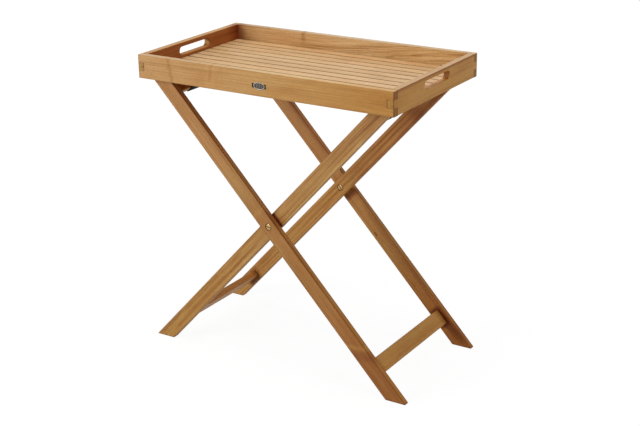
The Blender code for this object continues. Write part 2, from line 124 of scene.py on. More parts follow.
lens = bpy.data.cameras.new("photo_camera")
lens.sensor_width = SENSOR_WIDTH
lens.lens = FOCAL_LENGTH_PIXELS / PHOTO_WIDTH_PIXELS * SENSOR_WIDTH
camera = bpy.data.objects.new("photo_camera", lens)
camera.matrix_world = camera_matrix()
bpy.context.scene.collection.objects.link(camera)
bpy.context.scene.camera = camera
print("lens in millimetres:", round(lens.lens, 2))

# %% [markdown]
# ## A small language for shaders
#
# A pattern such as growth rings is a formula, and a formula is easier to read as an expression than
# as a web of nodes. So one small class wraps an output socket and gives it arithmetic: each sum or
# product adds the Math node that works it out.

# %% Wrap sockets so that they can be added and multiplied
class Signal:
    """A number that changes over a surface: one output socket of a finish's nodes."""

    def __init__(self, finish, socket):
        self.finish = finish
        self.socket = socket

    def math(self, operation, *values):
        """The result of a Math node on the values, which are numbers or signals."""
        return self.finish.node("ShaderNodeMath", {"operation": operation}, dict(enumerate(values)))

    def __add__(self, other):
        return self.math("ADD", self, other)

    def __sub__(self, other):
        return self.math("SUBTRACT", self, other)

    def __rsub__(self, other):
        return self.math("SUBTRACT", other, self)

    def __mul__(self, other):
        return self.math("MULTIPLY", self, other)

    def __truediv__(self, other):
        return self.math("DIVIDE", self, other)

    def __pow__(self, power):
        return self.math("POWER", self, power)

    def __abs__(self):
        return self.math("ABSOLUTE", self)

    __radd__ = __add__
    __rmul__ = __mul__

    def most(self, other):
        """The larger of two values."""
        return self.math("MAXIMUM", self, other)

    def diagonal(self, other):
        """How far two steps at right angles reach: the root of the sum of their squares."""
        return (self ** 2 + other ** 2) ** 0.5

    def fraction(self):
        """What is left after the whole part, so a steady climb becomes a saw."""
        return self.math("FRACT", self)

    def whole(self):
        """The whole part, rounded down."""
        return self.math("FLOOR", self)

    def wave(self):
        """The sine of an angle in radians."""
        return self.math("SINE", self)

    def half_turns(self):
        """Half a turn, in radians, for every odd whole number, and none for every even one."""
        return self.math("FLOORED_MODULO", self.whole(), 2.0) * math.pi

    def rise(self, low, high):
        """0 up to low, 1 past high, and an S-shaped climb in between."""
        values = {"Value": self, "From Min": low, "From Max": high}
        return self.finish.node("ShaderNodeMapRange", {"interpolation_type": "SMOOTHSTEP"}, values)

    def fall(self, low, high):
        """1 up to low and 0 past high: a rise, taken from 1."""
        return 1 - self.rise(low, high)

    def parts(self):
        """The three components of a vector, as three signals."""
        split = self.finish.node("ShaderNodeSeparateXYZ", values={"Vector": self})
        return [Signal(self.finish, output) for output in split.socket.node.outputs]


print("a signal can be asked for:", ", ".join(name for name in vars(Signal) if name[0] != "_"))

# %% [markdown]
# ## The nodes of a finish
#
# Everything that isn't arithmetic, from a noise texture to a colour mix, goes through one method
# that takes the node's type, its settings and its sockets. The settings come first, because some
# of them change which sockets there are. Colours never go through Math, which would turn them grey.

# %% Build a tree of nodes
class Finish:
    """The node tree of a material, or of the world, while it is being made."""

    def __init__(self, holder):
        self.holder = bpy.data.materials.new(holder) if isinstance(holder, str) else holder
        self.holder.use_nodes = True
        self.tree = self.holder.node_tree
        self.tree.nodes.clear()

    def node(self, kind, settings=(), values=(), output=0):
        """Add a node: its settings first, then numbers or links for its sockets."""
        made = self.tree.nodes.new(kind)
        for name, value in dict(settings).items():
            setattr(made, name, value)
        for key, value in dict(values).items():
            if isinstance(value, Signal):
                self.tree.links.new(value.socket, made.inputs[key])
            else:
                made.inputs[key].default_value = value
        return Signal(self, made.outputs[output]) if made.outputs else None

    def place(self):
        """The point on the piece in metres, in the frame that all the pieces share."""
        return self.node("ShaderNodeTexCoord", output="Object")

    def facing(self):
        """The direction that the surface faces, in the frame that all the pieces share."""
        return self.node("ShaderNodeTexCoord", output="Normal")

    def stretched(self, point, scale, shift=(0.0, 0.0, 0.0)):
        """A point times a scale plus a shift, both of which are vectors."""
        values = {0: point, 1: scale, 2: shift}
        return self.node("ShaderNodeVectorMath", {"operation": "MULTIPLY_ADD"}, values)

    def noise(self, point, detail=2.0):
        """Smooth noise about 0.5, with one lump per unit of the point."""
        values = {"Vector": point, "Scale": 1.0, "Detail": detail}
        return self.node("ShaderNodeTexNoise", values=values)

    def noise_along(self, place, scale):
        """Smooth noise about 0.5 along one number, with so many lumps per unit of it."""
        settings = {"noise_dimensions": "1D"}
        return self.node("ShaderNodeTexNoise", settings, {"W": place, "Scale": scale})

    def speckle(self, lumps_per_metre, detail):
        """Noise in the frame that all the pieces share, with so many lumps in a metre."""
        return self.noise(self.stretched(self.place(), (lumps_per_metre,) * 3), detail)

    def mix(self, share, first, second, blend_type="MIX"):
        """The first colour where share is 0 and the second where it is 1."""
        settings = {"data_type": "RGBA", "blend_type": blend_type, "clamp_factor": True}
        values = {0: share, 6: opaque(first), 7: opaque(second)}
        return self.node("ShaderNodeMix", settings, values, output=2)

    def tint(self, share, colour, tint):
        """The colour, multiplied by a tint where share is 1."""
        return self.mix(share, colour, tint, "MULTIPLY")

    def dot(self, first, second):
        """How far two directions agree: 1 if they are the same, 0 if they are square."""
        settings = {"operation": "DOT_PRODUCT"}
        return self.node("ShaderNodeVectorMath", settings, {0: first, 1: second}, output="Value")

    def bump(self, height, distance, strength):
        """A surface direction tilted by a height, where distance is the height of 1 in metres."""
        values = {"Height": height, "Distance": distance, "Strength": strength}
        return self.node("ShaderNodeBump", values=values)

    def surface(self, **values):
        """Finish the material with a Principled shader, its sockets named with underscores."""
        named = {name.replace("_", " "): value for name, value in values.items()}
        shader = self.node("ShaderNodeBsdfPrincipled", values=named)
        self.node("ShaderNodeOutputMaterial", values={"Surface": shader})
        return self.holder


def opaque(colour):
    """A colour's three numbers with alpha 1, as its socket wants it. A signal stays as it is."""
    return colour if isinstance(colour, Signal) else (*colour, 1.0)


print("a finish can be asked for:", ", ".join(name for name in vars(Finish) if name[0] != "_"))

# %% [markdown]
# ## Colours
#
# A colour picked from a screen is stored on a curve that gives dark tones more room. Light adds up
# in straight numbers, so each picked colour is taken off that curve once, here, and everything
# after it is multiplication: a tint under 1 darkens a channel, and one over 1 lifts it.

# %% Take colours off the screen's curve
def linear(red, green, blue):
    """A colour as picked from a screen, 0 to 255, turned into linear light."""
    shares = np.array([red, green, blue]) / 255.0
    curve = np.where(shares <= 0.04045, shares / 12.92, ((shares + 0.055) / 1.055) ** 2.4)
    return tuple(float(value) for value in curve)


def tinted(colour, tint):
    """A colour multiplied by a tint, channel by channel."""
    return tuple(float(channel * factor) for channel, factor in zip(colour, tint))


print("mid grey in linear light:", round(linear(128, 128, 128)[0], 3))

# %% [markdown]
# ## Where each board lies
#
# Wood has a direction, so a pattern needs to know how each board was cut: which way its grain runs,
# which way its width goes, and where its middle is. A rotation turns the shared frame into the
# board's own, in millimetres: u along the grain, v across the width and w through the thickness.

# %% Describe the boards
MILLIMETRES = 1000.0
LEG_WIDTH = 0.039
LEG_REACH = 0.50
BAR_WIDTH = 0.041
BAR_THICKNESS = 0.017
PIVOT_HEIGHT = frame["joints"][0]["pos_m"][2]
SLATS = sorted(name for name in NODES if name.startswith("slat_"))
BATTENS = ("tray_batten_left", "tray_batten_right")


def box_of(node):
    """A packed node's lowest corner, its highest corner and its middle."""
    low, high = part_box(node)
    return low, high, (low + high) / 2


rail_middle = box_of("inner_top_rail")[2]
LEG_ANGLE = math.atan2(rail_middle.z - PIVOT_HEIGHT, rail_middle.x)
UP_INNER_LEG = Vector((math.cos(LEG_ANGLE), 0, math.sin(LEG_ANGLE)))
UP_OUTER_LEG = Vector((-math.cos(LEG_ANGLE), 0, math.sin(LEG_ANGLE)))
X_AXIS, Y_AXIS, Z_AXIS = (Vector(axis) for axis in ((1, 0, 0), (0, 1, 0), (0, 0, 1)))


class Board:
    """How one board lies: the way its grain runs, the way its width goes, and its middle.

    A level board's size is its box. A board that leans fills its box from corner to corner, so
    its size is given instead.
    """

    def __init__(self, node, along, across, size=None):
        low, high, self.middle = box_of(node)
        self.node = node
        self.axes = Matrix((along, across, along.cross(across)))
        size = size or [abs((high - low).dot(axis)) for axis in self.axes]
        halves = [MILLIMETRES * side / 2 for side in size]
        self.half_length, self.half_width, self.half_thickness = halves

    def point(self, finish):
        """The place on the surface as u, v and w in millimetres from the board's middle."""
        values = {
            "Vector": finish.place(),
            "Location": -(self.axes @ self.middle) * MILLIMETRES,
            "Rotation": self.axes.to_euler(),
            "Scale": (MILLIMETRES,) * 3,
        }
        return finish.node("ShaderNodeMapping", {"vector_type": "POINT"}, values)


boards = {}
for names, along, across in (
    (("tray_front_board", "tray_rear_board"), X_AXIS, Z_AXIS),
    (("tray_left_end", "tray_right_end"), Y_AXIS, Z_AXIS),
    (SLATS, X_AXIS, Y_AXIS),
    (BATTENS, Y_AXIS, X_AXIS),
):
    for name in names:
        boards[name] = Board(name, along, across)
for frame_name, up_leg in (("outer", UP_OUTER_LEG), ("inner", UP_INNER_LEG)):
    for name in (f"{frame_name}_leg_front", f"{frame_name}_leg_rear"):
        low, high, middle = box_of(name)
        leg = Board(name, up_leg, Y_AXIS.cross(up_leg), (2 * LEG_REACH, LEG_WIDTH, high.y - low.y))
        leg.middle = Vector((0, middle.y, PIVOT_HEIGHT))
        boards[name] = leg
    for name in (f"{frame_name}_stretcher", f"{frame_name}_top_rail"):
        low, high, middle = box_of(name)
        boards[name] = Board(name, Y_AXIS, up_leg, (high.y - low.y, BAR_WIDTH, BAR_THICKNESS))
print("legs lean", round(math.degrees(LEG_ANGLE), 2), "degrees from level;", len(boards), "boards")

# %% [markdown]
# ## How a board was sawn
#
# A tree lays down a ring each year, so a board is a slice through a stack of tapered tubes. The
# finish does the same sum: it measures the distance from the tree's heart, which lies somewhere
# beside the board and tilts a little, and turns that distance into rings. A face cut along the
# rings then shows arches, a face cut through them shows stripes, and the end shows arcs, with no
# extra work, because all of them read one solid pattern.
#
# Everything else in the wood is noise drawn out along the grain, from curves as long as a hand to
# pores finer than a pencil line. Where a board was sawn at a slant to the trunk, the grain runs out
# across it, and one small bend of the coordinates takes rings and fibres along together.

# %% Cut boards from a tree
# Each layer's lumps are so long and so wide, in millimetres, and have so much finer detail.
GRAIN_LAYERS = {
    "slow curve": (170, 40, 2),
    "quick curve": (55, 13, 1),
    "fibre": (22, 0.5, 3),
    "band": (150, 2.6, 3),
    "streak": (380, 9, 2),
    "patch": (110, 35, 3),
    "dash": (6, 0.45, 1),
    "waver": (14, 6, 2),
    "fleck": (9, 1.0, 1),
}
SHIFT_REACH = 60
RUN_OUT_BEND = 60.0
GOOD_YEARS_SCALE = 0.3
GOOD_YEARS_REACH = 3.0


class Cut:
    """How a board was sawn from the tree, in millimetres in the board's own frame.

    heart is where the middle of the tree lies beside the board, in v and w, tilt is how far it
    moves for each millimetre along the grain, spacing is a ring's usual width, and wander is how
    far the rings stray from true circles. The grain may run out: past a place along the board it
    climbs across it at a slope. The seed picks where the board lies in each layer of noise.
    """

    def __init__(self, seed, heart, tilt, spacing, wander=5.0, run_out=None):
        shifts = np.random.default_rng(seed).uniform(-SHIFT_REACH, SHIFT_REACH, (len(GRAIN_LAYERS), 3))
        self.shifts = dict(zip(GRAIN_LAYERS, shifts))
        self.heart = heart
        self.tilt = tilt
        self.spacing = spacing
        self.wander = wander
        self.run_out = run_out


def grain(finish, point, cut, layer):
    """One layer of noise, drawn out along the grain."""
    length, width, detail = GRAIN_LAYERS[layer]
    scale = (1 / length, 1 / width, 1 / width)
    return finish.noise(finish.stretched(point, scale, cut.shifts[layer]), detail)


def run_of_grain(finish, point, cut):
    """The point, with its v counted from the grain's own line where that climbs across the board.

    The climb is the slope times the distance past the start, and the distance squared over itself
    plus a bend makes it set in gently.
    """
    if cut.run_out is None:
        return point
    start, slope = cut.run_out
    u, v, w = point.parts()
    past = (u - start).most(0.0)
    climb = past ** 2 / (past + RUN_OUT_BEND) * slope
    return finish.node("ShaderNodeCombineXYZ", values={"X": u, "Y": v - climb, "Z": w})


def growth_rings(finish, point, cut):
    """How dark the year's growth is, from 0 to 1, and how far the year has gone.

    The distance from the heart, in ring widths, is stretched and squeezed by noise, because good
    and bad years differ. Its whole part is the year, which picks how strong the ring is, and its
    fraction is the season: the ring darkens slowly and ends sharply.
    """
    u, v, w = point.parts()
    slow = grain(finish, point, cut, "slow curve") - 0.5
    quick = grain(finish, point, cut, "quick curve") - 0.5
    push = slow * (2 * cut.wander) + quick * (0.4 * cut.wander)
    across = v - cut.heart[0] - u * cut.tilt[0] + push
    through = w - cut.heart[1] - u * cut.tilt[1] + push
    years = across.diagonal(through) / cut.spacing
    years = years + finish.noise_along(years, GOOD_YEARS_SCALE) * GOOD_YEARS_REACH
    settings = {"noise_dimensions": "1D"}
    strength = finish.node("ShaderNodeTexWhiteNoise", settings, {"W": years.whole()}, output="Value")
    season = years.fraction()
    late = season.rise(0.15, 0.86) * season.fall(0.88, 1.0) * (strength * 0.75 + 0.25)
    return late, season


print("layers of grain:", ", ".join(GRAIN_LAYERS))

# %% [markdown]
# ## Teak
#
# A board's colour is built up as a polisher would look at it: one warm tone, then slow drifts of
# it, the rings, bands, fibres, and the pores, short dark dashes that teak has mostly where a ring
# begins. Each is a tint with a share, laid over what is there, so the order hardly matters and any
# board can have more of one and less of another. End grain drinks more oil, so it is darker, and a
# thin darker line runs along each arris. The narrow faces carry painted light and shade: a painted
# sheen on the tray's rims, painted shade on the sides of the slats, legs and bars, and a painted
# lift on the top rails' lower sides.

# %% Make the teak finish
RING_TINT = (0.72, 0.61, 0.46)
BAND_TINT = (0.66, 0.54, 0.39)
STREAK_TINT = (0.62, 0.48, 0.33)
DRIFT_TINT, DRIFT_SHARE = (0.84, 0.72, 0.56), 0.6
PALE_TINT = (1.08, 1.13, 1.22)
FIBRE_TINT, FIBRE_SHARE = (0.80, 0.73, 0.64), 0.5
PORE_TINT, PORE_SHARE = (0.56, 0.44, 0.33), 0.7
FLECK_TINT, FLECK_SHARE = (0.66, 0.52, 0.38), 0.55
ARRIS_TINT, ARRIS_REACH = (0.44, 0.31, 0.21), (0.4, 2.2)
DARK_END_TINT = (0.51, 0.39, 0.11)
EDGE_CALM, END_CALM = 0.85, 0.7
TEAK_ROUGHNESS = 0.42
TEAK_RELIEF = 0.00012


def give(node, material):
    """Put a material on a piece of the packed model."""
    for held in NODES[node].material_slots:
        held.material = material


def teak(board, tones, cut, rings=0.5, bands=0.4, pales=0.4, streaks=0.3, arris=0.2, *,
         painted_edge_light, end_tint=DARK_END_TINT, extras=()):
    """Finish one board in teak, whose tone goes from the first to the second along its length.

    The board's narrow faces carry painted light and shade, a tint at each end of the board, and
    fewer flecks, and its ends have a tint of their own. Extras are functions of the point and some
    noise about 0 that give the share and tint of one more mark.
    """
    finish = Finish("teak_" + board.node)
    point = board.point(finish)
    u, v, w = point.parts()
    flow = run_of_grain(finish, point, cut)
    late, season = growth_rings(finish, flow, cut)
    layers = ("fibre", "band", "streak", "patch", "dash", "waver", "fleck")
    fibre, band, streak, patch, dash, waver, fleck = (grain(finish, flow, cut, name) for name in layers)

    facing = finish.facing()
    square = abs(finish.dot(facing, board.axes.row[1])).rise(0.80, 0.97)
    narrow = square * (abs(v) - board.half_width).rise(-1.0, -0.5)
    end = abs(finish.dot(facing, board.axes.row[0])).rise(0.55, 0.85)
    calm = 1 - narrow.most(end * END_CALM) * EDGE_CALM
    pores = dash.rise(0.58, 0.72) * (1 - season.rise(0.30, 0.75) * 0.8) * calm
    from_arris = (board.half_width - abs(v)).most(board.half_thickness - abs(w))

    along = u / (2 * board.half_length) + 0.5
    colour = finish.mix(along, *tones)
    for share, tint in (
        (patch.rise(0.35, 0.70) * DRIFT_SHARE, DRIFT_TINT),
        (band.fall(0.25, 0.46) * pales, PALE_TINT),
        (late * calm * rings, RING_TINT),
        (band.rise(0.50, 0.72) * calm * bands, BAND_TINT),
        (streak.rise(0.50, 0.70) * streaks, STREAK_TINT),
        (fibre.rise(0.35, 0.75) * calm * FIBRE_SHARE, FIBRE_TINT),
        (pores * PORE_SHARE, PORE_TINT),
        (fleck.rise(0.60, 0.70) * calm * FLECK_SHARE, FLECK_TINT),
        # Painted light and shade on the narrow faces: sheen on rims, shade on sides and in slat gaps.
        (narrow, finish.mix(along, *painted_edge_light)),
        (end, end_tint),
        (from_arris.fall(*ARRIS_REACH) * arris, ARRIS_TINT),
        *(extra(finish, u, v, w, waver - 0.5) for extra in extras),
    ):
        colour = finish.tint(share, colour, tint)

    relief = (fibre * 0.5 - pores * 0.8 + late * 0.25) * calm
    give(board.node, finish.surface(
        Base_Color=colour,
        Roughness=TEAK_ROUGHNESS + fibre * 0.16 + pores * 0.1,
        Specular_IOR_Level=0.2,
        Normal=finish.bump(relief, TEAK_RELIEF, 0.6),
    ))


print("teak reads", len(GRAIN_LAYERS), "layers of noise")

# %% [markdown]
# ## Marks on a board
#
# Noise alone makes wood look even, and real boards are not: one has a knot, the next a curly patch
# or a red streak down one side. Each mark is a distance in the board's own millimetres, from a
# place along it, across it or both, turned into a share that is full near the mark and gone at its
# reach. A share comes with the tint that it multiplies the wood by.

# %% Mark a board across and along its grain
LOW_END_FADE = 24
STREAK_END_FADE = 40
STREAK_WAVER = 6
OFF_THE_BOARD = -80


def across_grain(at, reach, share, tint, waver=9, lean=0.0, low=OFF_THE_BOARD):
    """A mark across the board at one place along it, with an edge that wavers.

    It leans by its slope, and fades out over the last part above its low end, if that lies on the
    board.
    """

    def mark(finish, u, v, w, sway):
        away = abs(u - at - v * lean + sway * waver)
        return away.fall(0.1 * reach, reach) * v.rise(low, low + LOW_END_FADE) * share, tint

    return mark


def along_grain(at, reach, start, stop, share, tint):
    """A streak along the board at one place across it, faded out at its start and its stop."""

    def mark(finish, u, v, w, sway):
        away = abs(v - at + sway * STREAK_WAVER)
        between = u.rise(start, start + STREAK_END_FADE) * u.fall(stop - STREAK_END_FADE, stop)
        return away.fall(0.2 * reach, reach) * between * share, tint

    return mark


print("marks along a streak fade over", STREAK_END_FADE, "mm at both ends")

# %% [markdown]
# ## The tray's joints
#
# Where boards meet, glue and dirt draw a thin dark line round each finger, and the inner corners
# carry painted shade, brown and strongest in the left rear corner. The lines could be modelled as
# grooves, but a glue line has no depth, so each is a distance to the joint, taken from the sizes of
# the boards that meet there.

# %% Mark the joints
JOINT_TINT, JOINT_LINE, JOINT_SHARE = (0.36, 0.29, 0.22), (0.35, 0.75), 0.6
CORNER_TINT, CORNER_LINE, CORNER_SHARE = (0.48, 0.41, 0.34), (0.8, 2.6), 0.9
# Painted shade in the tray's inner corners.
CORNER_SHADE_TINT = (0.60, 0.34, 0.26)
REAR_SHADE_REACH, END_SHADE_REACH = 34.0, 58.0
LEFT_REAR_SHARE, OTHER_CORNER_SHARE = 0.9, 0.4

front_board, rear_board = boards["tray_front_board"], boards["tray_rear_board"]
left_end, right_end = boards["tray_left_end"], boards["tray_right_end"]
rim_half_height = front_board.half_width
finger_half = rim_half_height / 3
long_inside = front_board.half_length - 2 * left_end.half_thickness
end_inside = left_end.half_length - 2 * front_board.half_thickness


def finger_joints(inside, owns_middle):
    """The thin dark lines of glue round the fingers at a board's ends.

    Two lines run along the grain, at the middle finger's edges and from the corner outwards. One
    runs across it where the fingers end, beside the middle one or beside the other two.
    """

    def lines(finish, u, v, w, sway):
        near_edge = abs(abs(v) - finger_half).fall(*JOINT_LINE)
        near_root = abs(abs(u) - inside).fall(*JOINT_LINE)
        past_root = (abs(u) - inside + 0.5).rise(0.0, 0.2)
        in_middle = (finger_half - abs(v)).rise(-0.2, 0.2)
        beside = 1 - in_middle if owns_middle else in_middle
        return (near_edge * past_root).most(near_root * beside) * JOINT_SHARE, JOINT_TINT

    return lines


def outer_corner(board):
    """A dark line down the tray's outer corner: where a face or an end meets the corner's edge.

    Of the distances to the board's end and to its outer face, one is nothing there and the other
    is small, so their sum is small too.
    """

    def line(finish, u, v, w, sway):
        to_end = board.half_length - abs(u)
        to_face = board.half_thickness - abs(w)
        return (to_end + to_face).fall(*CORNER_LINE) * CORNER_SHARE, CORNER_TINT

    return line


def inner_corner_shade(inside, reach, left_rear_is_positive):
    """Painted shade, brown, that starts where a board leaves the corner and fades along it.

    It is strongest in the tray's left rear corner, which the board reaches at one end of its u.
    """

    def painted_shade(finish, u, v, w, sway):
        away = inside - abs(u)
        at_left_rear = u.rise(-1.0, 1.0) if left_rear_is_positive else u.fall(-1.0, 1.0)
        share = at_left_rear * (LEFT_REAR_SHARE - OTHER_CORNER_SHARE) + OTHER_CORNER_SHARE
        return (away + sway * 10).fall(0.0, reach) * away.rise(-0.2, 0.0) * share, CORNER_SHADE_TINT

    return painted_shade


print("fingers are", round(2 * finger_half, 1), "mm high")

# %% [markdown]
# ## The hand holes
#
# Each end has a hole to lift the tray by, with a soft dark line round its upper outline, and
# walls cut straight through the grain. The walls could have a material of their own, but a packed
# mesh is never changed, so the wood is tinted there by its distance to the hole's outline, with
# painted light on the wall's floor, which faces up. Painted shade darkens the outer face just below
# the rim's rounded edge.

# %% Mark the hand holes
HOLE_HALF_LENGTH = 61.0
HOLE_RADIUS = 10.0
HOLE_BELOW_RIM = 20.8
HOLE_END_FADE = 5.0
HOLE_TINT, HOLE_LINE = (0.62, 0.47, 0.36), (0.6, 2.8)
# Painted shade below the rim's rounded edge.
UNDER_RIM_SHADE_TINT = (0.72, 0.60, 0.52)


def hand_hole(board, share, floor_light_tint, end_tint):
    """Three marks round the hand hole: its outline from above, its wall's floor, and its far end.

    The distance to the hole's outline is that to a line as long as its straight part, less its
    radius, and it is nothing on the wall itself.
    """
    straight = HOLE_HALF_LENGTH - HOLE_RADIUS
    level = board.half_width - HOLE_BELOW_RIM

    def near(u, v):
        past_straight = (abs(u) - straight).most(0.0)
        return abs(past_straight.diagonal(v - level) - HOLE_RADIUS).fall(*HOLE_LINE)

    def on_wall(w):
        return (board.half_thickness - abs(w)).rise(1.0, 2.2)

    def outline(finish, u, v, w, sway):
        return near(u, v) * (1 - on_wall(w)) * (v - level).rise(-6.0, 2.0) * share, HOLE_TINT

    # Painted light: the wall's floor faces up, so its tint lifts it.
    def lit_wall_floor(finish, u, v, w, sway):
        before_end = u.fall(straight, straight + HOLE_END_FADE)
        return near(u, v) * on_wall(w) * (level - v).rise(2.0, 7.0) * before_end, floor_light_tint

    def wall_end(finish, u, v, w, sway):
        return near(u, v) * on_wall(w) * u.rise(straight, straight + HOLE_END_FADE), end_tint

    return outline, lit_wall_floor, wall_end


def on_face(board, w, side=1.0):
    """1 on the board's face on that side, else 0."""
    return (w * side - board.half_thickness).rise(-0.8, -0.2)


def under_rim_shade(board, start, stop):
    """Painted shade: a darker band below the rim's rounded edge, on the outer face."""

    def band(finish, u, v, w, sway):
        return (rim_half_height - v).fall(start, stop) * on_face(board, w), UNDER_RIM_SHADE_TINT

    return band


print("hand holes are", 2 * HOLE_HALF_LENGTH, "mm long")

# %% [markdown]
# ## The tray's boards
#
# The front board is nearly straight-grained, with one brown figure near its left end where a branch
# once grew. The rear board was sawn close to the tree's heart and at a slant, so long lines climb
# across its face. The two ends are warmer, the left one much the browner, partly as painted shade
# of its inner face inside the tray. The rims' tints are a painted sheen. Each board is given its
# tones at both ends, how it was cut, and its own marks.

# %% Finish the tray's boards
teak(
    front_board, (linear(198, 155, 103), linear(202, 149, 77)),
    Cut(3, heart=(-60.0, 55.0), tilt=(0.006, 0.002), spacing=5.5, wander=8.0),
    arris=0.35, painted_edge_light=((1.09, 1.31, 1.80),) * 2,
    extras=(
        across_grain(20, 260, 1.0, (1.05, 1.11, 1.17)),
        across_grain(-255, 8, 0.8, (0.80, 0.68, 0.54), waver=18, lean=-0.18),
        across_grain(-140, 24, 0.5, (1.10, 1.14, 1.14)),
        across_grain(-138, 7, 0.5, (0.76, 0.62, 0.46), waver=14, lean=0.15, low=-22),
        finger_joints(long_inside, owns_middle=False),
        outer_corner(front_board),
    ),
)
teak(
    rear_board, (linear(208, 170, 121), linear(224, 188, 131)),
    Cut(11, heart=(-26.0, 20.0), tilt=(0.02, -0.03), spacing=3.4, run_out=(-70.0, 0.13)),
    rings=1.4, bands=0.8, arris=0.35,
    painted_edge_light=((0.83, 0.88, 1.00),) * 2, end_tint=(0.43, 0.30, 0.09),
    extras=(
        across_grain(40, 160, 1.0, (1.06, 1.15, 1.32)),
        across_grain(-131, 9, 0.9, (0.72, 0.58, 0.46), waver=16, low=-8),
        finger_joints(long_inside, owns_middle=False),
        inner_corner_shade(long_inside, REAR_SHADE_REACH, left_rear_is_positive=False),
    ),
)


# The rim's tint is a painted sheen.
def finish_end(board, seed, tones, bands, rim_sheen_tint, end_tint, marks):
    """Finish one of the tray's two ends, with its hand hole."""
    cut = Cut(seed, heart=(70.0, 40.0), tilt=(0.01, 0.0), spacing=4.6)
    marks = (finger_joints(end_inside, owns_middle=True), outer_corner(board), *marks)
    teak(board, tones, cut, 0.3, bands, streaks=bands, painted_edge_light=(rim_sheen_tint,) * 2,
         end_tint=end_tint, extras=marks)
    print(board.node, "finished with", len(marks), "marks")


# The left end's tone is partly painted shade; its rim, end grain and hole floor tints lift it back.
finish_end(
    left_end, 21, (linear(170, 104, 49), linear(168, 99, 44)), 0.9,
    rim_sheen_tint=(1.38, 2.38, 4.05), end_tint=(1.05, 1.75, 2.5),
    marks=(
        *hand_hole(left_end, 0.7, (1.95, 2.70, 1.70), (0.96, 1.02, 0.90)),
        inner_corner_shade(end_inside, END_SHADE_REACH, left_rear_is_positive=True),
    ),
)
finish_end(
    right_end, 24, (linear(202, 147, 74), linear(206, 153, 77)), 0.4,
    rim_sheen_tint=(0.86, 1.02, 1.88), end_tint=(0.82, 0.91, 0.95),
    marks=(
        *hand_hole(right_end, 0.35, (1.15, 1.06, 0.72), (0.62, 0.44, 0.42)),
        under_rim_shade(right_end, 3.0, 9.0),
        under_rim_shade(right_end, 0.8, 3.4),
    ),
)

# %% [markdown]
# ## The slats
#
# Slats are ripped from whatever is left, so no two match. A loop gives each its own cut, and its
# own tone, a little redder or paler than the next. Their sides are much darker than their tops, as
# painted shade in the gaps between them, and that is what draws the thin lines of the floor.

# %% Finish the slats and battens
SLAT_TONE = linear(221, 184, 136)
BATTEN_TONE = linear(190, 144, 92)
# Painted shade in the gaps between the slats.
SLAT_GAP_SHADE_TINT = (0.50, 0.32, 0.12)
# Painted shade on the sides of legs, bars and battens.
SIDE_SHADE_TINT = (1.0, 0.86, 0.60)
BRIGHTNESS_SPREAD = 0.07
WARMTH_SPREAD = 0.03

random = np.random.default_rng(7)
for number, name in enumerate((*SLATS, *BATTENS)):
    warm, bright = random.uniform(-1, 1, 2)
    light = 1 + BRIGHTNESS_SPREAD * bright
    tint = (light, light - WARMTH_SPREAD * warm, light - 2 * WARMTH_SPREAD * warm)
    heart = (float(random.uniform(-90, 90)), float(random.choice((-1, 1)) * random.uniform(20, 80)))
    cut = Cut(40 + number, heart, tilt=tuple(random.uniform(-0.02, 0.02, 2)), spacing=4.5)
    tone = tinted(SLAT_TONE if name in SLATS else BATTEN_TONE, tint)
    side = SLAT_GAP_SHADE_TINT if name in SLATS else SIDE_SHADE_TINT
    teak(boards[name], (tone, tone), cut, rings=0.3, arris=0.45, painted_edge_light=(side, side))
print("finished:", len(SLATS), "slats and", len(BATTENS), "battens")

# %% [markdown]
# ## Wear and painted shade on the stand
#
# A stand is knocked and stood in the wet, and its bars are glued into its legs. So every leg has
# dark lines along its sides and a damp foot, and where a bar goes into a leg, painted shade and some
# grime darken the corner round the joint and the bar's end. These could be painted by hand, but
# each follows from where the pieces lie, so one function serves every leg and bar.

# %% Mark the legs and the cross bars
ARRIS_LINE_TINT, FRONT_LINE = (0.66, 0.50, 0.36), (1.8, 5.4)
REAR_LINE, REAR_LINE_SHARE = (1.2, 6.0), 0.6
KNOT_TINT, KNOT_STRETCH = (0.50, 0.40, 0.32), 2.4
FOOT_TINT, FOOT_DAMP, FOOT_SHARE = (0.55, 0.42, 0.33), (0.8, 5.0), 0.7
# Painted shade, with some grime, round each joint and on the bars' ends.
BAR_CORNER_SHADE_TINT, BAR_CORNER_SHADE_REACH = (0.36, 0.14, 0.05), 15.0
BAR_END_SHADE_TINT, BAR_END_SHADE_REACH = (0.44, 0.31, 0.18), (-6.0, 28.0)


def on_side(board, v):
    """1 on a leg's narrow sides, else 0."""
    return (abs(v) - board.half_width).rise(-1.0, -0.4)


def knot(along, across, radius):
    """A dark spot, more than twice as long as it is wide, because the fibres flow round it."""

    def mark(finish, u, v, w, sway):
        away = ((u - along) / KNOT_STRETCH).diagonal(v - across) + sway * 3
        return away.fall(0.2 * radius, radius), KNOT_TINT

    return mark


def arris_lines(board):
    """Dark lines on a leg's sides, next to the front face and, more faintly, to the rear face.

    Each fades out a few millimetres from its face.
    """

    def lines(finish, u, v, w, sway):
        at_front = (w + board.half_thickness).fall(*FRONT_LINE)
        at_rear = (board.half_thickness - w).fall(*REAR_LINE) * REAR_LINE_SHARE
        return at_front.most(at_rear) * on_side(board, v), ARRIS_LINE_TINT

    return lines


def side_shade_patch(board, at, reach, tint):
    """A lighter or darker patch in the painted shade of a leg's narrow sides, at one place along it."""

    def painted_shade(finish, u, v, w, sway):
        return (abs(u - at) + sway * 12).fall(0.2 * reach, reach) * on_side(board, v), tint

    return painted_shade


def foot_grime(finish, u, v, w, sway):
    """A dark bottom edge, where damp and dirt creep up the end grain of a foot."""
    height = finish.place().parts()[2] * MILLIMETRES
    return (height + sway * 4).fall(*FOOT_DAMP) * FOOT_SHARE, FOOT_TINT


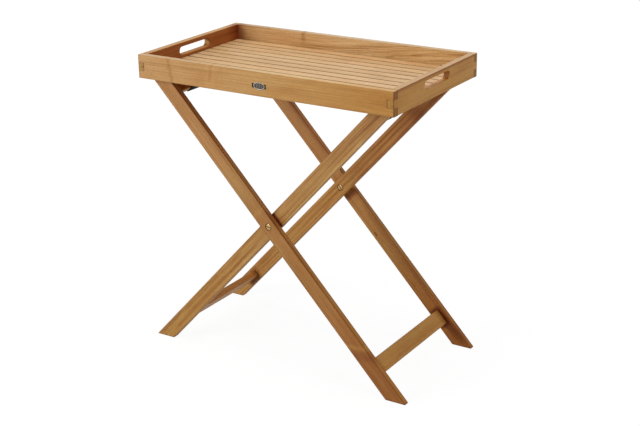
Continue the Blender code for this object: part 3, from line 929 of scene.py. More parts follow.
def shade_beside_bar(leg, bar, share):
    """Painted shade, with some grime, on a leg's inner face round the place where a cross bar goes in.
    """
    place = leg.axes @ (bar.middle - leg.middle) * MILLIMETRES
    inwards = math.copysign(1.0, place.z)

    def painted_shade(finish, u, v, w, sway):
        past_width = (abs(u - place.x) - bar.half_width).most(0.0)
        past_thickness = (abs(v - place.y) - bar.half_thickness).most(0.0)
        away = past_width.diagonal(past_thickness) + sway * 3
        return away.fall(0.0, BAR_CORNER_SHADE_REACH) * on_face(leg, w, inwards) * share, BAR_CORNER_SHADE_TINT

    return painted_shade


def bar_end_shade(bar, leg, share):
    """Painted shade on a cross bar's two ends, which darken towards the legs that they go into."""
    inside = abs(leg.middle.y - bar.middle.y) * MILLIMETRES - leg.half_thickness

    def painted_shade(finish, u, v, w, sway):
        return (inside - abs(u) + sway * 4).fall(*BAR_END_SHADE_REACH) * share, BAR_END_SHADE_TINT

    return painted_shade


# corner scales the painted shade round each joint and on the bar's ends.
def finish_bar(name, seed, tones, bands=0.4, pales=0.4, streaks=0.3, painted_sides=(SIDE_SHADE_TINT,) * 2,
               marks=(), corner=1.0):
    """Finish a cross bar, or a leg, with the marks that all of either kind have."""
    board = boards[name]
    frame_name = name.split("_")[0]
    cut = Cut(seed, heart=(45.0 + seed % 7, 30.0), tilt=(0.008, 0.004), spacing=4.4)
    if "leg" in name:
        stretcher = boards[frame_name + "_stretcher"]
        marks = (*marks, arris_lines(board), foot_grime, shade_beside_bar(board, stretcher, corner))
    else:
        marks = (*marks, bar_end_shade(board, boards[frame_name + "_leg_front"], corner))
    teak(board, tones, cut, 0.4, bands, pales, streaks, arris=0.25, painted_edge_light=painted_sides, extras=marks)
    print(name, "finished with", len(marks), "marks")


print("stains reach", BAR_CORNER_SHADE_REACH, "mm round a joint")

# %% [markdown]
# ## The stand
#
# The legs are darker and redder than the tray, and each has its own streaks along the grain. A
# leg's tone is given at its foot and at its top, and so is that of its sides. The change along a leg
# is partly painted shade, where light falls off towards the floor and the tray hangs over, and the
# sides' darker, redder tint is painted shade of the tray above them. Most marks are where the real
# legs have them: a curly patch, a knot, a red streak along one side. Others are painted shadows,
# where one leg crosses in front of another and under the tray at a leg's top.

# %% Finish the stand
GOLDEN_TINT = (1.05, 1.13, 1.14)
CURLY_TINT = (1.20, 1.36, 1.40)
RED_TINT = (0.80, 0.70, 0.70)
DARK_STREAK_TINT = (0.78, 0.65, 0.56)
# Painted light on the top rails' lower sides.
RAIL_SIDE_LIGHT_TINT = (1.6, 2.8, 6.0)

finish_bar(
    "outer_leg_front", 61, (linear(175, 117, 61), linear(189, 143, 90)), 0.7, 0.7, 0.5,
    # Its sides' tints are painted shade, darkest at the top under the tray.
    painted_sides=((1.055, 1.08, 0.68), (0.95, 0.62, 0.46)),
    marks=(
        across_grain(-140, 190, 1.0, GOLDEN_TINT),
        across_grain(105, 110, 1.0, (0.98, 1.06, 1.05)),
        across_grain(-351, 12, 0.9, CURLY_TINT, waver=16, lean=-0.8),
        across_grain(-378, 24, 0.9, RED_TINT, lean=-0.8),
        across_grain(42, 9, 0.5, CURLY_TINT, waver=16),
        along_grain(-14, 7, -170, 110, 0.8, (1.04, 1.16, 1.26)),
        along_grain(13, 9, -50, 90, 0.9, (0.84, 0.76, 0.68)),
        # Painted shade under the tray, at the leg's top.
        along_grain(0, 9, 310, 500, 0.8, (0.90, 0.85, 0.76)),
        side_shade_patch(boards["outer_leg_front"], 10, 40, (0.76, 0.68, 0.86)),
    ),
)
finish_bar(
    "inner_leg_front", 64, (linear(192, 147, 80), linear(192, 146, 91)), 1.0, 0.9, 0.8,
    marks=(
        along_grain(6, 5.5, -480, -60, 1.0, DARK_STREAK_TINT),
        along_grain(-9, 4.5, -420, -120, 0.9, DARK_STREAK_TINT),
        along_grain(1, 4.5, -430, -200, 0.9, (0.82, 0.72, 0.62)),
        along_grain(-15, 7, -420, -110, 1.0, (1.14, 1.22, 1.34)),
        along_grain(16, 7, 20, 370, 1.0, (1.24, 1.42, 1.56)),
        along_grain(15, 7, -240, 20, 0.9, (1.10, 1.20, 1.38)),
        along_grain(-13, 9, -540, -400, 1.0, (0.76, 0.67, 0.64)),
        along_grain(5, 9, -540, -430, 0.9, (1.10, 1.18, 1.24)),
        # Painted shadow where the outer front leg crosses in front, and broader painted shade beside
        # it.
        across_grain(21, 9, 1.0, (0.36, 0.13, 0.05), waver=4, lean=-0.1),
        across_grain(27, 20, 0.5, (0.74, 0.62, 0.56)),
    ),
)
finish_bar(
    "outer_leg_rear", 67, (linear(179, 117, 49), linear(200, 148, 94)), 0.8, 0.7, 0.6,
    painted_sides=((0.84, 0.82, 0.58), (0.88, 0.78, 0.54)),
    marks=(
        across_grain(-170, 190, 1.0, (1.12, 1.28, 1.45)),
        across_grain(-320, 90, 1.0, (1.04, 1.09, 1.18)),
        across_grain(-480, 50, 1.0, (0.78, 0.66, 0.62)),
        along_grain(11, 8, -400, -60, 0.8, RED_TINT),
        # Painted shadow where the inner rear leg crosses in front of this leg.
        across_grain(-30, 13, 0.9, (0.60, 0.42, 0.32), waver=5),
        along_grain(11, 9, -540, -420, 0.9, (0.86, 0.76, 0.60)),
        along_grain(-9, 9, -540, -430, 0.9, (1.10, 1.22, 1.30)),
        across_grain(38, 26, 0.9, (1.20, 1.36, 1.38)),
        along_grain(16, 8, 80, 300, 1.0, (0.76, 0.68, 0.68)),
        knot(-149, -8.5, 4.5),
        side_shade_patch(boards["outer_leg_rear"], 190, 160, (1.52, 1.50, 1.55)),
    ),
)
finish_bar(
    "inner_leg_rear", 70, (linear(199, 151, 86), linear(190, 127, 68)), 1.0, 0.6, 0.8,
    marks=(
        across_grain(-210, 160, 1.0, (1.03, 1.10, 1.12)),
        across_grain(-10, 110, 1.0, (1.16, 1.28, 1.32)),
        across_grain(195, 50, 0.9, (1.14, 1.22, 1.28)),
        # Painted shade under the tray, near the leg's top.
        across_grain(318, 34, 0.9, (0.76, 0.62, 0.54)),
        along_grain(3, 6, -390, -270, 0.8, (0.82, 0.74, 0.68)),
    ),
    corner=0.5,
)
# The rails' dark red tones are painted shade from the tray; their side tint is painted light.
for name, seed, tone, side in (
    ("outer_stretcher", 73, linear(206, 152, 82), SIDE_SHADE_TINT),
    ("inner_stretcher", 76, linear(211, 154, 79), (0.79, 0.66, 0.69)),
    ("outer_top_rail", 79, linear(176, 98, 30), RAIL_SIDE_LIGHT_TINT),
    ("inner_top_rail", 82, linear(176, 110, 48), RAIL_SIDE_LIGHT_TINT),
):
    finish_bar(name, seed, (tone, tone), painted_sides=(side, side))

# %% [markdown]
# ## From a formula to a mesh
#
# The small pieces could be modelled by pushing points about, but each of them is simple to say in
# numbers: a slice of a disc, a profile carried along a path, a ring with a cross in it. So each is
# worked out as one grid of points, whole arrays at a time. A point has six numbers. Three are its
# place, and three are stored in an attribute called pattern, which the finishes read: where the
# point lies on the flat piece, in millimetres, and how deep in a hollow it is, which also marks
# painted shade on a head's rim, the plate's tab ends and between the webbing's cords.

# %% Turn grids of points into closed meshes
POINT_NUMBERS = 6
MERGE_REACH = 0.000002
SHARP_ANGLE = math.radians(40)


def closed_mesh(name, grids):
    """One mesh of closed bodies, each a grid whose rows are loops of points.

    A point, the next one in its row, and the same two in the next row are the corners of a face.
    Points that fall together, as at a pole, become one, and an open first or last row is filled.
    """
    faces, first = [], 0
    for grid in grids:
        rows, columns = grid.shape[:2]
        index = first + np.arange(rows * columns).reshape(rows, columns)
        beside = np.roll(index, -1, axis=1)
        corners = (index[:-1], beside[:-1], beside[1:], index[1:])
        faces.append(np.stack(corners, axis=-1).reshape(-1, 4))
        first += rows * columns
    points = np.concatenate([grid.reshape(-1, POINT_NUMBERS) for grid in grids])
    mesh = bpy.data.meshes.new(name)
    mesh.from_pydata(points[:, :3], [], np.concatenate(faces).tolist())
    pattern = mesh.attributes.new("pattern", "FLOAT_VECTOR", "POINT")
    pattern.data.foreach_set("vector", points[:, 3:].astype(np.float32).ravel())
    shape = bmesh.new()
    shape.from_mesh(mesh)
    bmesh.ops.remove_doubles(shape, verts=shape.verts, dist=MERGE_REACH)
    bmesh.ops.holes_fill(shape, edges=shape.edges)
    bmesh.ops.recalc_face_normals(shape, faces=shape.faces)
    shape.to_mesh(mesh)
    shape.free()
    mesh.shade_smooth()
    mesh.set_sharp_from_angle(angle=SHARP_ANGLE)
    return mesh


def add_piece(name, grids, material, body=None, stands_for=()):
    """Put a new piece into the scene, on the body that carries it."""
    mesh = closed_mesh(name, grids)
    mesh.materials.append(material)
    piece = bpy.data.objects.new(name, mesh)
    bpy.context.scene.collection.objects.link(piece)
    if body:
        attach(piece, body)
    if stands_for:
        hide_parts(*stands_for)
    print(name, "has", len(mesh.polygons), "faces")
    return piece


def placed(grid, origin, right, up):
    """A grid made about the origin, moved so that its x, y and z run right, up and outwards."""
    axes = np.array((right, up, Vector(right).cross(Vector(up))))
    moved = grid.copy()
    moved[..., :3] = grid[..., :3] @ axes + np.array(origin)
    return moved


print("each point carries", POINT_NUMBERS, "numbers")

# %% [markdown]
# ## Metal
#
# Brass that is handled is bright on its high places and brown in its hollows, and turning leaves
# fine rings round its middle. Both are read from the pattern that the grids carry: its first two
# numbers give the distance from the middle, and the third browns a head's slot and the field of
# the small plate, and adds painted shade on a head's rounded rim and the plate's tab ends.

# %% Make the metal finishes
BRASS = linear(193, 160, 107)
# Grime in the brass's hollows, and painted shade on a head's rounded rim.
BRASS_GRIME_AND_SHADE = linear(54, 34, 8)
BRIGHT_STEEL = linear(150, 142, 132)
# The plate's dark field, and painted shade on its tab ends.
DARK_ENAMEL_AND_SHADE = linear(24, 17, 10)
DULL_SPOT_TINT, DULL_SPOT_SHARE = (0.72, 0.62, 0.48), 0.45
SPOTS_PER_METRE = 900.0
RING_RELIEF = 0.00003


def pattern_of(finish):
    """The three pattern numbers of a piece made here: flat place in millimetres, and hollow."""
    return finish.node("ShaderNodeAttribute", {"attribute_name": "pattern"}, output="Vector")


def worn_metal(name, colour, grime_and_shade, roughness, ring_pitch=0.024):
    """Metal with turned rings, their pitch in millimetres, dull spots, grime and painted shade."""
    finish = Finish(name)
    x, y, hollow = pattern_of(finish).parts()
    rings = finish.noise_along(x.diagonal(y), 1 / ring_pitch)
    spots = finish.speckle(SPOTS_PER_METRE, detail=4)
    dulled = spots.rise(0.48, 0.78) * DULL_SPOT_SHARE
    shade = finish.mix(dulled, colour, tinted(colour, DULL_SPOT_TINT))
    return finish.surface(
        Base_Color=finish.mix(hollow, shade, grime_and_shade),
        Metallic=1 - hollow * 0.75,
        Roughness=roughness + rings * 0.1 + spots * 0.1 + hollow * 0.35,
        Specular_IOR_Level=0.15,
        Normal=finish.bump(rings, RING_RELIEF, 0.5),
    )


brass = worn_metal("worn_brass", BRASS, BRASS_GRIME_AND_SHADE, 0.16)
washers = [name for name in NODES if name.startswith("pivot_washer")]
for name in washers:
    give(name, brass)
print("brass washers:", len(washers))

# %% [markdown]
# ## The pivots
#
# Each pivot is a screw with a wide slotted head that threads into a sleeve from the other side.
# The packed heads are right in size but plain. These have a low dome, a rounded rim and a slot
# with grime in it, which is what gives a small bright disc its dark stroke in the photograph; the
# rim is browned too, as painted shade where the counterbore shades it.
# A head is a disc cut into slices that run along its slot, so that the slot's walls stay crisp.

# %% Shape the pivot heads
HEAD_RADIUS = 0.0074
HEAD_THICKNESS = 0.0024
HEAD_CROWN = 0.0005
HEAD_ROUNDING = 0.0013
SLOT_HALF_WIDTH = 0.0011
SLOT_DEPTH = 0.0012
SLOT_WALL = 0.00004
SHANK_RADIUS = 0.0042
BOLT_SLOT_TURN = math.radians(8)
NUT_SLOT_TURN = math.radians(64)


def step(value, edge, softness):
    """0 well below the edge and 1 well above it, with a straight ramp as wide as the softness."""
    return np.clip((value - edge) / softness + 0.5, 0, 1)


def sliced(stations, half_height, top, thickness, rows=44):
    """A disc or plate made of slices: each is a loop over the top and back under.

    The slice at x reaches from -h to h, where h = half_height(x), and the sine spaces its points
    closer near both ends. The function top gives the height and the hollow at (x, y).
    """
    share = np.sin(np.linspace(-0.5, 0.5, rows) * math.pi)
    x = np.broadcast_to(stations[:, None], (len(stations), rows))
    y = share[None, :] * half_height(stations)[:, None]
    height, hollow = top(x, y)
    flat = (MILLIMETRES * x, MILLIMETRES * y)
    over = np.stack((x, y, height, *flat, hollow), axis=-1)
    under = np.stack((x, y, np.full_like(x, -thickness), *flat, np.zeros_like(x)), axis=-1)
    return np.concatenate((over, under[:, ::-1]), axis=1)


def head_half_height(x):
    """Half the head's outline at x: a circle."""
    return np.sqrt(np.maximum(HEAD_RADIUS ** 2 - x ** 2, 0))


def head_top(x, y):
    """A dome that falls with the square of the radius, a rounded rim, and the slot along y."""
    radius = np.hypot(x, y)
    past_rounding = np.clip((radius - HEAD_RADIUS + HEAD_ROUNDING) / HEAD_ROUNDING, 0, 1)
    rim = HEAD_ROUNDING * (1 - np.sqrt(1 - past_rounding ** 2))
    in_slot = 1 - step(np.abs(x), SLOT_HALF_WIDTH, SLOT_WALL)
    height = -HEAD_CROWN * (radius / HEAD_RADIUS) ** 2 - rim
    # The slot is browned as grime, and the rounded rim as painted shade of the counterbore.
    return height - in_slot * SLOT_DEPTH, np.maximum(in_slot, 0.9 * past_rounding ** 2)


def slotted_head():
    """A head about the origin, facing z, with its slot along y."""
    wall = SLOT_HALF_WIDTH + np.array((-1, 1)) * SLOT_WALL / 2
    side = np.sin(np.linspace(0, 0.5, 22) * math.pi) * HEAD_RADIUS
    stations = np.concatenate((wall, side[side > wall[1] * 1.2]))
    stations = np.concatenate((-stations[::-1], stations))
    return sliced(stations, head_half_height, head_top, HEAD_THICKNESS)


def turned(radii, heights, columns=40):
    """A turned body: each row is a circle of its own radius at its own height."""
    angle = np.linspace(0, 2 * math.pi, columns, endpoint=False)
    x = np.outer(radii, np.cos(angle))
    y = np.outer(radii, np.sin(angle))
    z = np.broadcast_to(np.asarray(heights)[:, None], x.shape)
    return np.stack((x, y, z, MILLIMETRES * x, MILLIMETRES * y, np.zeros_like(x)), axis=-1)


def add_pivot_head(node, turn):
    """A head and its shank in place of a packed one, facing away from the node's shank."""
    low, high, middle = box_of(node)
    outwards = -1 if ("bolt" in node) == (middle.y < 0) else 1
    face = low.y if outwards < 0 else high.y
    up = Vector((math.cos(turn), 0, -math.sin(turn)))
    right = up.cross(Vector((0, outwards, 0)))
    ends = (-HEAD_THICKNESS,) * 2 + (low.y - high.y,) * 2
    shank = turned((0, SHANK_RADIUS, SHANK_RADIUS, 0), ends)
    grids = [placed(grid, (middle.x, face, middle.z), right, up) for grid in (slotted_head(), shank)]
    add_piece(node + "_worn", grids, brass, "outer_frame", (node,))


for place in ("front", "rear"):
    add_pivot_head("pivot_bolt_" + place, BOLT_SLOT_TURN)
    add_pivot_head("sleeve_nut_" + place, NUT_SLOT_TURN)

# %% [markdown]
# ## The small plate
#
# A pressed metal plate sits in the middle of the front board: an oval with a square tab at each
# end. Its rim is polished and its field is dark, with a plain row of upright reeds, so it carries
# no words or badge. It could be cut from a curve and bevelled, but a height for every point of the
# flat outline says the rim, the field and the reeds in one formula.

# %% Press the plate
PLATE_HALF_LENGTH = 0.019
TAB_HALF_HEIGHT = 0.005
OVAL_HALF_LENGTH = 0.0165
OVAL_HALF_HEIGHT = 0.0086
FIELD_EDGE, RIM_START, RIM_END = 0.72, 0.80, 0.97
RIM_RISE = 0.0004
REED_PITCH = 0.0044
REED_RISE = 0.00022
TAB_DROP = 0.0003
# How far the painted shade reaches in from each tab's end.
TAB_SHADE_REACH = 0.0032
PLATE_RING_PITCH = 0.06


def plate_half_height(x):
    """Half the outline's height at x: the oval's or the tab's, whichever is larger."""
    oval = OVAL_HALF_HEIGHT * np.sqrt(np.maximum(1 - (x / OVAL_HALF_LENGTH) ** 2, 0))
    return np.maximum(oval, TAB_HALF_HEIGHT)


def plate_top(x, y):
    """The oval's rim as half a sine wave, reeds in its field, and tabs that lie lower.

    The distance from the middle is counted in ovals: 1 on the outline. Reeds are the squared sine
    of x, faded out before the rim.
    """
    ovals = np.hypot(x / OVAL_HALF_LENGTH, y / OVAL_HALF_HEIGHT)
    across_rim = np.clip((ovals - RIM_START) / (RIM_END - RIM_START), 0, 1)
    rim = np.sin(math.pi * across_rim)
    field = 1 - step(ovals, FIELD_EDGE, RIM_START - FIELD_EDGE)
    reeds = np.sin(math.pi * x / REED_PITCH) ** 2 * field
    tab = step(ovals, 1.0, 0.05)
    height = RIM_RISE * (rim - 1) + REED_RISE * reeds - TAB_DROP * tab
    hollow = np.clip(1 - rim * 1.5 - reeds * 0.55, 0, 1)
    # Painted shade: each tab's end darkens where the recess round the plate shades it.
    tab_end = step(np.abs(x), PLATE_HALF_LENGTH - TAB_SHADE_REACH, TAB_SHADE_REACH / 2)
    return height, np.maximum(hollow, tab_end)


low, high, middle = box_of("front_plate")
stations = np.linspace(-PLATE_HALF_LENGTH, PLATE_HALF_LENGTH, 161)
plate = sliced(stations, plate_half_height, plate_top, high.y - low.y, rows=48)
plate = placed(plate, (middle.x, low.y, middle.z), X_AXIS, Z_AXIS)
plate_metal = worn_metal("worn_plate", BRIGHT_STEEL, DARK_ENAMEL_AND_SHADE, 0.22, PLATE_RING_PITCH)
add_piece("front_plate_pressed", [plate], plate_metal, "tray", ("front_plate",))

# %% [markdown]
# ## The straps' path
#
# Two straps of black webbing join the top rails, so the stand can open only so far. A strap could
# be bent by simulation, but it is pulled tight, so its path is known: it is level between the
# rails, hangs a few millimetres in the middle, and goes round each rail to a tail on its inner
# face. Each of the rail's corners is an arc about the middle of the corner's own rounding.

# %% Lead a strap round the rails
RAIL_ROUNDING = 0.003
STRAP_SEAT = 0.0003
STRAP_THICKNESS = 0.0018
STRAP_TAIL = 0.022
STRAP_SAG = 0.003
STATION_STEP = 0.006
CORNER_POINTS = 9
NORMAL_IS_UP = 0.99
QUARTER_TURN = math.pi / 2


def strap_path():
    """The strap's middle line from the table's middle to its right tail: x, z and the normal.

    The sag is the square of a parabola that is 1 in the middle and 0 at the rail. Only places
    whose normal points up hang by it.
    """
    bend = RAIL_ROUNDING + STRAP_SEAT + STRAP_THICKNESS / 2
    rail = np.array((rail_middle.x, rail_middle.z))
    up = np.array((math.cos(LEG_ANGLE), math.sin(LEG_ANGLE)))
    outer = np.array((up[1], -up[0]))
    long = (BAR_WIDTH / 2 - RAIL_ROUNDING) * up
    short = (BAR_THICKNESS / 2 - RAIL_ROUNDING) * outer
    corners = (long - short, long + short, short - long, -long - short)
    turns = (QUARTER_TURN, *(LEG_ANGLE - quarters * QUARTER_TURN for quarters in range(4)))
    places, normals = [], []
    for corner, start, stop in zip(corners, turns, turns[1:]):
        angle = np.linspace(start, stop, CORNER_POINTS)
        normal = np.stack((np.cos(angle), np.sin(angle)), axis=-1)
        places.append(rail + corner + bend * normal)
        normals.append(normal)
    places, normals = np.concatenate(places), np.concatenate(normals)
    places = np.concatenate(([(0.0, places[0, 1])], places, [places[-1] + STRAP_TAIL * up]))
    normals = np.concatenate((normals[:1], normals, normals[-1:]))
    length = np.concatenate(([0.0], np.cumsum(np.hypot(*np.diff(places, axis=0).T))))
    stations = np.unique(np.concatenate((length, np.arange(0, length[-1], STATION_STEP))))
    path = [np.interp(stations, length, column) for column in (*places.T, *normals.T)]
    level_reach = places[1, 0]
    level = np.clip(1 - (path[0] / level_reach) ** 2, 0, 1) * (path[3] > NORMAL_IS_UP)
    path[1] = path[1] - STRAP_SAG * level ** 2
    return stations, np.stack(path, axis=-1)


print("each strap in metres:", round(2 * strap_path()[0][-1], 3))

# %% [markdown]
# ## Webbing
# Webbing is thick cords laid side by side, with a fine thread woven over and under them. The cords
# are in the mesh, as a profile with rounded ribs that is carried along the strap's path. The
# threads are too fine for that, so the finish draws them from the pattern, which is the place on
# the flat strap.

# %% Weave the straps
RIB_COUNT = 22
RIB_DEPTH = 0.00028
THREAD_PITCH = 1.6
DARK_THREAD, PALE_THREAD = linear(9, 7, 5), linear(33, 28, 23)
WORN_THREAD_TINT = (1.5, 1.45, 1.4)
# Painted shade between the cords.
RIB_GAP_SHADE_TINT = (0.4, 0.4, 0.4)
WEAVE_RELIEF = 0.00018
FUZZ_PER_METRE, WEAR_PER_METRE = 1600.0, 60.0
low, high, middle = box_of("strap_front")
STRAP_HALF_WIDTH = (high.y - low.y) / 2


def webbing_profile():
    """A loop round the strap: across it, and out from its middle, with ribs on both faces.

    The ribs are the rounded tops of a sine, and the thickness falls to nothing at both selvedges
    along a quarter of a circle.
    """
    across = np.linspace(-1, 1, RIB_COUNT * 4 + 1) * STRAP_HALF_WIDTH
    from_selvedge = np.clip((STRAP_HALF_WIDTH - np.abs(across)) / (STRAP_THICKNESS * 0.7), 0, 1)
    body = np.sqrt(1 - (1 - from_selvedge) ** 2)
    rib = np.abs(np.sin(np.linspace(0, RIB_COUNT * math.pi, len(across)))) ** 0.7
    out = (STRAP_THICKNESS / 2 - RIB_DEPTH * (1 - rib)) * body
    hollow = 1 - rib
    over = np.stack((across, out, hollow), axis=-1)
    under = np.stack((across, -out, hollow), axis=-1)[-2:0:-1]
    return np.concatenate((over, under))


def strap_grid(node):
    """The profile carried along the whole path, from the left tail to the right one."""
    stations, right_half = strap_path()
    left_half = right_half[:0:-1] * np.array((-1, 1, -1, 1))
    path = np.concatenate((left_half, right_half))
    along = np.concatenate((-stations[:0:-1], stations))
    across, out, hollow = webbing_profile().T
    x = path[:, 0:1] + path[:, 2:3] * out
    z = path[:, 1:2] + path[:, 3:4] * out
    y = np.broadcast_to(across + box_of(node)[2].y, x.shape)
    flat = [np.broadcast_to(MILLIMETRES * values, x.shape) for values in (along[:, None], across)]
    return np.stack((x, y, z, *flat, np.broadcast_to(hollow, x.shape)), axis=-1)


def webbing_finish():
    """Black thread woven across the cords: a wave along the strap that turns over at each cord."""
    finish = Finish("black_webbing")
    along, across, hollow = pattern_of(finish).parts()
    cords = across / (2 * MILLIMETRES * STRAP_HALF_WIDTH / RIB_COUNT)
    thread = (along * (2 * math.pi / THREAD_PITCH) + cords.half_turns()).wave() * 0.5 + 0.5
    fuzz, wear = finish.speckle(FUZZ_PER_METRE, detail=3), finish.speckle(WEAR_PER_METRE, detail=3)
    shade = finish.mix(thread * 0.5 + fuzz * 0.5, DARK_THREAD, PALE_THREAD)
    shade = finish.tint(wear.rise(0.5, 0.8) * 0.5, shade, WORN_THREAD_TINT)
    # Painted shade between the cords, where the hollow is deepest.
    shade = finish.tint(hollow * 0.6, shade, RIB_GAP_SHADE_TINT)
    return finish.surface(
        Base_Color=shade,
        Roughness=0.62 + fuzz * 0.25,
        Specular_IOR_Level=0.1,
        Sheen_Weight=0.03,
        Normal=finish.bump(thread * (1 - hollow) + fuzz * 0.35, WEAVE_RELIEF, 0.9),
    )


webbing = webbing_finish()
for place in ("front", "rear"):
    node = "strap_" + place
    strap = add_piece("webbing_" + place, [strap_grid(node)], webbing, stands_for=(node,))
    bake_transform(strap)

# %% [markdown]
# ## Screws
#
# Each strap's tail is held by two screws with a washer under the head, and every slat is screwed
# from below through both battens. A screw head here is a stack of ring-shaped rows, as if turned,
# but the rows inside follow the outline of the cross that is punched in it.

# %% Drive the screws
CROSS_ARM = 0.42
CROSS_HALF_WIDTH = 0.11
CROSS_DEPTH = 0.35
WASHER_CREST, WASHER_EDGE, WASHER_FLARE = 0.55, 0.45, 0.04
STRAP_SCREW = {"radius": 0.0038, "crown": 0.0011, "lift": 0.0016, "washer": 0.0062}
SLAT_SCREW = {"radius": 0.0030, "crown": 0.0003, "lift": 0.0001, "washer": 0.0, "columns": 24}
SCREW_UP_TAIL_SHARE = 0.62
SCREW_ACROSS_SHARE = 0.52


def cross_head(radius, crown, lift, washer, columns=48):
    """A domed head with a cross in it, about the origin and facing z, on a washer if it has one.

    The cross reaches out to the arm's length or to where its half width over the sine or cosine
    of the angle lies, whichever is nearer. Rows inside it are that outline, shrunk; rows outside
    it go over to a circle.
    """
    angle = np.linspace(0, 2 * math.pi, columns, endpoint=False)
    slant = 1 / np.maximum(np.minimum(np.abs(np.sin(angle)), np.abs(np.cos(angle))), 0.001)
    cross = np.minimum(CROSS_ARM, CROSS_HALF_WIDTH * slant)
    shares = np.array((0.0, 0.0, 0.0, 0.25, 0.5, 0.75, 0.9, 1.0))[:, None]
    rows = cross * (1 - shares) + shares
    rows[0], rows[1] = 0, rows[1] * 0.8
    height = lift + crown * np.sqrt(np.maximum(1.02 - rows ** 2, 0))
    height[:2] -= radius * CROSS_DEPTH
    hollow = np.zeros_like(rows)
    hollow[:2] = 1
    edges = [(1.0, 0), (0, 0)]
    if washer:
        rim = washer / radius
        crest, edge = lift * WASHER_CREST, lift * WASHER_EDGE
        edges = [(1.0, crest), (rim, edge), (rim + WASHER_FLARE, 0), *edges]
    for share, level in edges:
        rows = np.vstack((rows, np.full(columns, share)))
        height = np.vstack((height, np.full(columns, level)))
        hollow = np.vstack((hollow, np.zeros(columns)))
    x, y = rows * radius * np.cos(angle), rows * radius * np.sin(angle)
    return np.stack((x, y, height, MILLIMETRES * x, MILLIMETRES * y, hollow), axis=-1)


tail_x, tail_z, out_x, out_z = strap_path()[1][-1]
down_tail = STRAP_TAIL * (1 - SCREW_UP_TAIL_SHARE)
seat_x = tail_x - down_tail * math.cos(LEG_ANGLE) + out_x * STRAP_THICKNESS / 2
seat_z = tail_z - down_tail * math.sin(LEG_ANGLE) + out_z * STRAP_THICKNESS / 2
for body, lean in (("outer_frame", -1), ("inner_frame", 1)):
    up = Vector((lean * math.cos(LEG_ANGLE), 0, math.sin(LEG_ANGLE)))
    right = up.cross(Vector((lean * out_x, 0, out_z)))
    grids = []
    for node in ("strap_front", "strap_rear"):
        for share in (-SCREW_ACROSS_SHARE, SCREW_ACROSS_SHARE):
            origin = (lean * seat_x, box_of(node)[2].y + share * STRAP_HALF_WIDTH, seat_z)
            grids.append(placed(cross_head(**STRAP_SCREW), origin, right, up))
    add_piece(f"strap_screws_{body}", grids, brass, body)

grids = []
for batten in BATTENS:
    low, high, middle = box_of(batten)
    for slat in SLATS:
        origin = (middle.x, box_of(slat)[2].y, low.z)
        grids.append(placed(cross_head(**SLAT_SCREW), origin, X_AXIS, -Y_AXIS))
add_piece("slat_screws", grids, brass, "tray")

# %% [markdown]
# ## Floor
#
# The photograph was taken on white paper. The floor is a real white surface, so it throws light
# back up under the tray and takes a soft shadow. The camera, and anything shiny, sees most of it
# as plain white, which is how a product picture is finished, and no more light falls on the wood
# for that.

# %% Lay the floor
FLOOR_SIZE = 60.0
FLOOR_DROP = 0.0002
FLOOR_BOUNCE = (0.45, 0.45, 0.45)
FLOOR_SHADOW = (0.08, 0.08, 0.08)
FLOOR_GLOW = 0.94
LIT_REACH, DARK_REACH = 0.6, 2.6
WHITE = (1.0, 1.0, 1.0, 1.0)


def seen_straight(finish):
    """1 where the ray comes from the camera, off something shiny or through glass, else 0."""
    kinds = ("Is Camera Ray", "Is Glossy Ray", "Is Transmission Ray")
    camera_ray, glossy_ray, clear_ray = (
        finish.node("ShaderNodeLightPath", output=kind) for kind in kinds
    )
    return camera_ray.most(glossy_ray).most(clear_ray)


paper = Finish("white_paper")
seen = seen_straight(paper)
east, north, up = paper.place().parts()
lamps_fade = east.diagonal(north).rise(LIT_REACH, DARK_REACH)
matt_colour = paper.mix(seen, FLOOR_BOUNCE, FLOOR_SHADOW)
matt = paper.node("ShaderNodeBsdfDiffuse", values={"Color": matt_colour})
strength = seen * (FLOOR_GLOW + lamps_fade * (1 - FLOOR_GLOW))
glow = paper.node("ShaderNodeEmission", values={"Color": WHITE, "Strength": strength})
both = paper.node("ShaderNodeAddShader", values={0: matt, 1: glow})
paper.node("ShaderNodeOutputMaterial", values={"Surface": both})

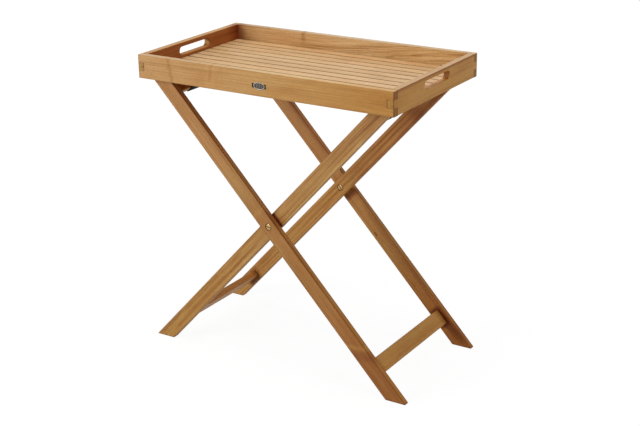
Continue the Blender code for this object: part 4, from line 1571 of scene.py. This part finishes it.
half = FLOOR_SIZE / 2
corners = [(x * half, y * half, -FLOOR_DROP) for x, y in ((-1, -1), (1, -1), (1, 1), (-1, 1))]
floor_mesh = bpy.data.meshes.new("floor")
floor_mesh.from_pydata(corners, [], [(0, 1, 2, 3)])
floor_mesh.materials.append(paper.holder)
floor = bpy.data.objects.new("floor", floor_mesh)
bpy.context.scene.collection.objects.link(floor)
floor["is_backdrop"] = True
print("floor laid, side in metres:", FLOOR_SIZE)

# %% [markdown]
# ## Lamps
#
# The lamps were found by trial: the table was rendered in plain paint under each of several lamps
# alone, and the strengths that add up to the photograph's light were worked out. A large soft box
# stands low to the left of the camera, so it reaches the rear legs under the tray. One hangs
# overhead, so the tray shades the legs' upper sides, a weaker one stands to the right, and a faint
# one behind lifts the far edges.

# %% Light the table
LAMP_TARGET = Vector((0.0, 0.0, 0.45))
AMBIENT = 0.15
# Each lamp's place, the side of its square and its power in watts.
LAMPS = {
    "left_box": ((-1.66, -2.54, 1.45), 1.6, 70.0),
    "top_box": ((0.0, 0.0, 3.2), 1.8, 41.0),
    "right_box": ((3.0, -0.6, 1.2), 1.6, 28.0),
    "rear_box": ((-0.8, 2.6, 2.4), 1.6, 10.0),
}

world = bpy.data.worlds.new("studio")
bpy.context.scene.world = world
surround = Finish(world)
dim, white = (
    surround.node("ShaderNodeBackground", values={"Color": WHITE, "Strength": strength})
    for strength in (AMBIENT, 1.0)
)
mixed = surround.node("ShaderNodeMixShader", values={0: seen_straight(surround), 1: dim, 2: white})
surround.node("ShaderNodeOutputWorld", values={"Surface": mixed})

for name, (place, size, power) in LAMPS.items():
    lamp = bpy.data.lights.new(name, "AREA")
    lamp.shape = "SQUARE"
    lamp.size = size
    lamp.energy = power
    stand = bpy.data.objects.new(name, lamp)
    stand.location = place
    stand.rotation_mode = "QUATERNION"
    stand.rotation_quaternion = (Vector(place) - LAMP_TARGET).to_track_quat("Z", "Y")
    stand.visible_camera = False
    bpy.context.scene.collection.objects.link(stand)
bpy.context.scene.view_settings.view_transform = "Standard"
print("lamps:", ", ".join(LAMPS))

# %% [markdown]
# ## Sizes
#
# Both boxes, the packed model's and the dressed table's, are kept side by side, and the dressed
# one is printed. The dressed table has to be as large as the packed model.

# %% Set both sizes side by side
size = {
    "cad": [list(CAD_LOW), list(CAD_HIGH)],
    "visual": [list(corner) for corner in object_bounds()],
}
print("visual box:", size["visual"])
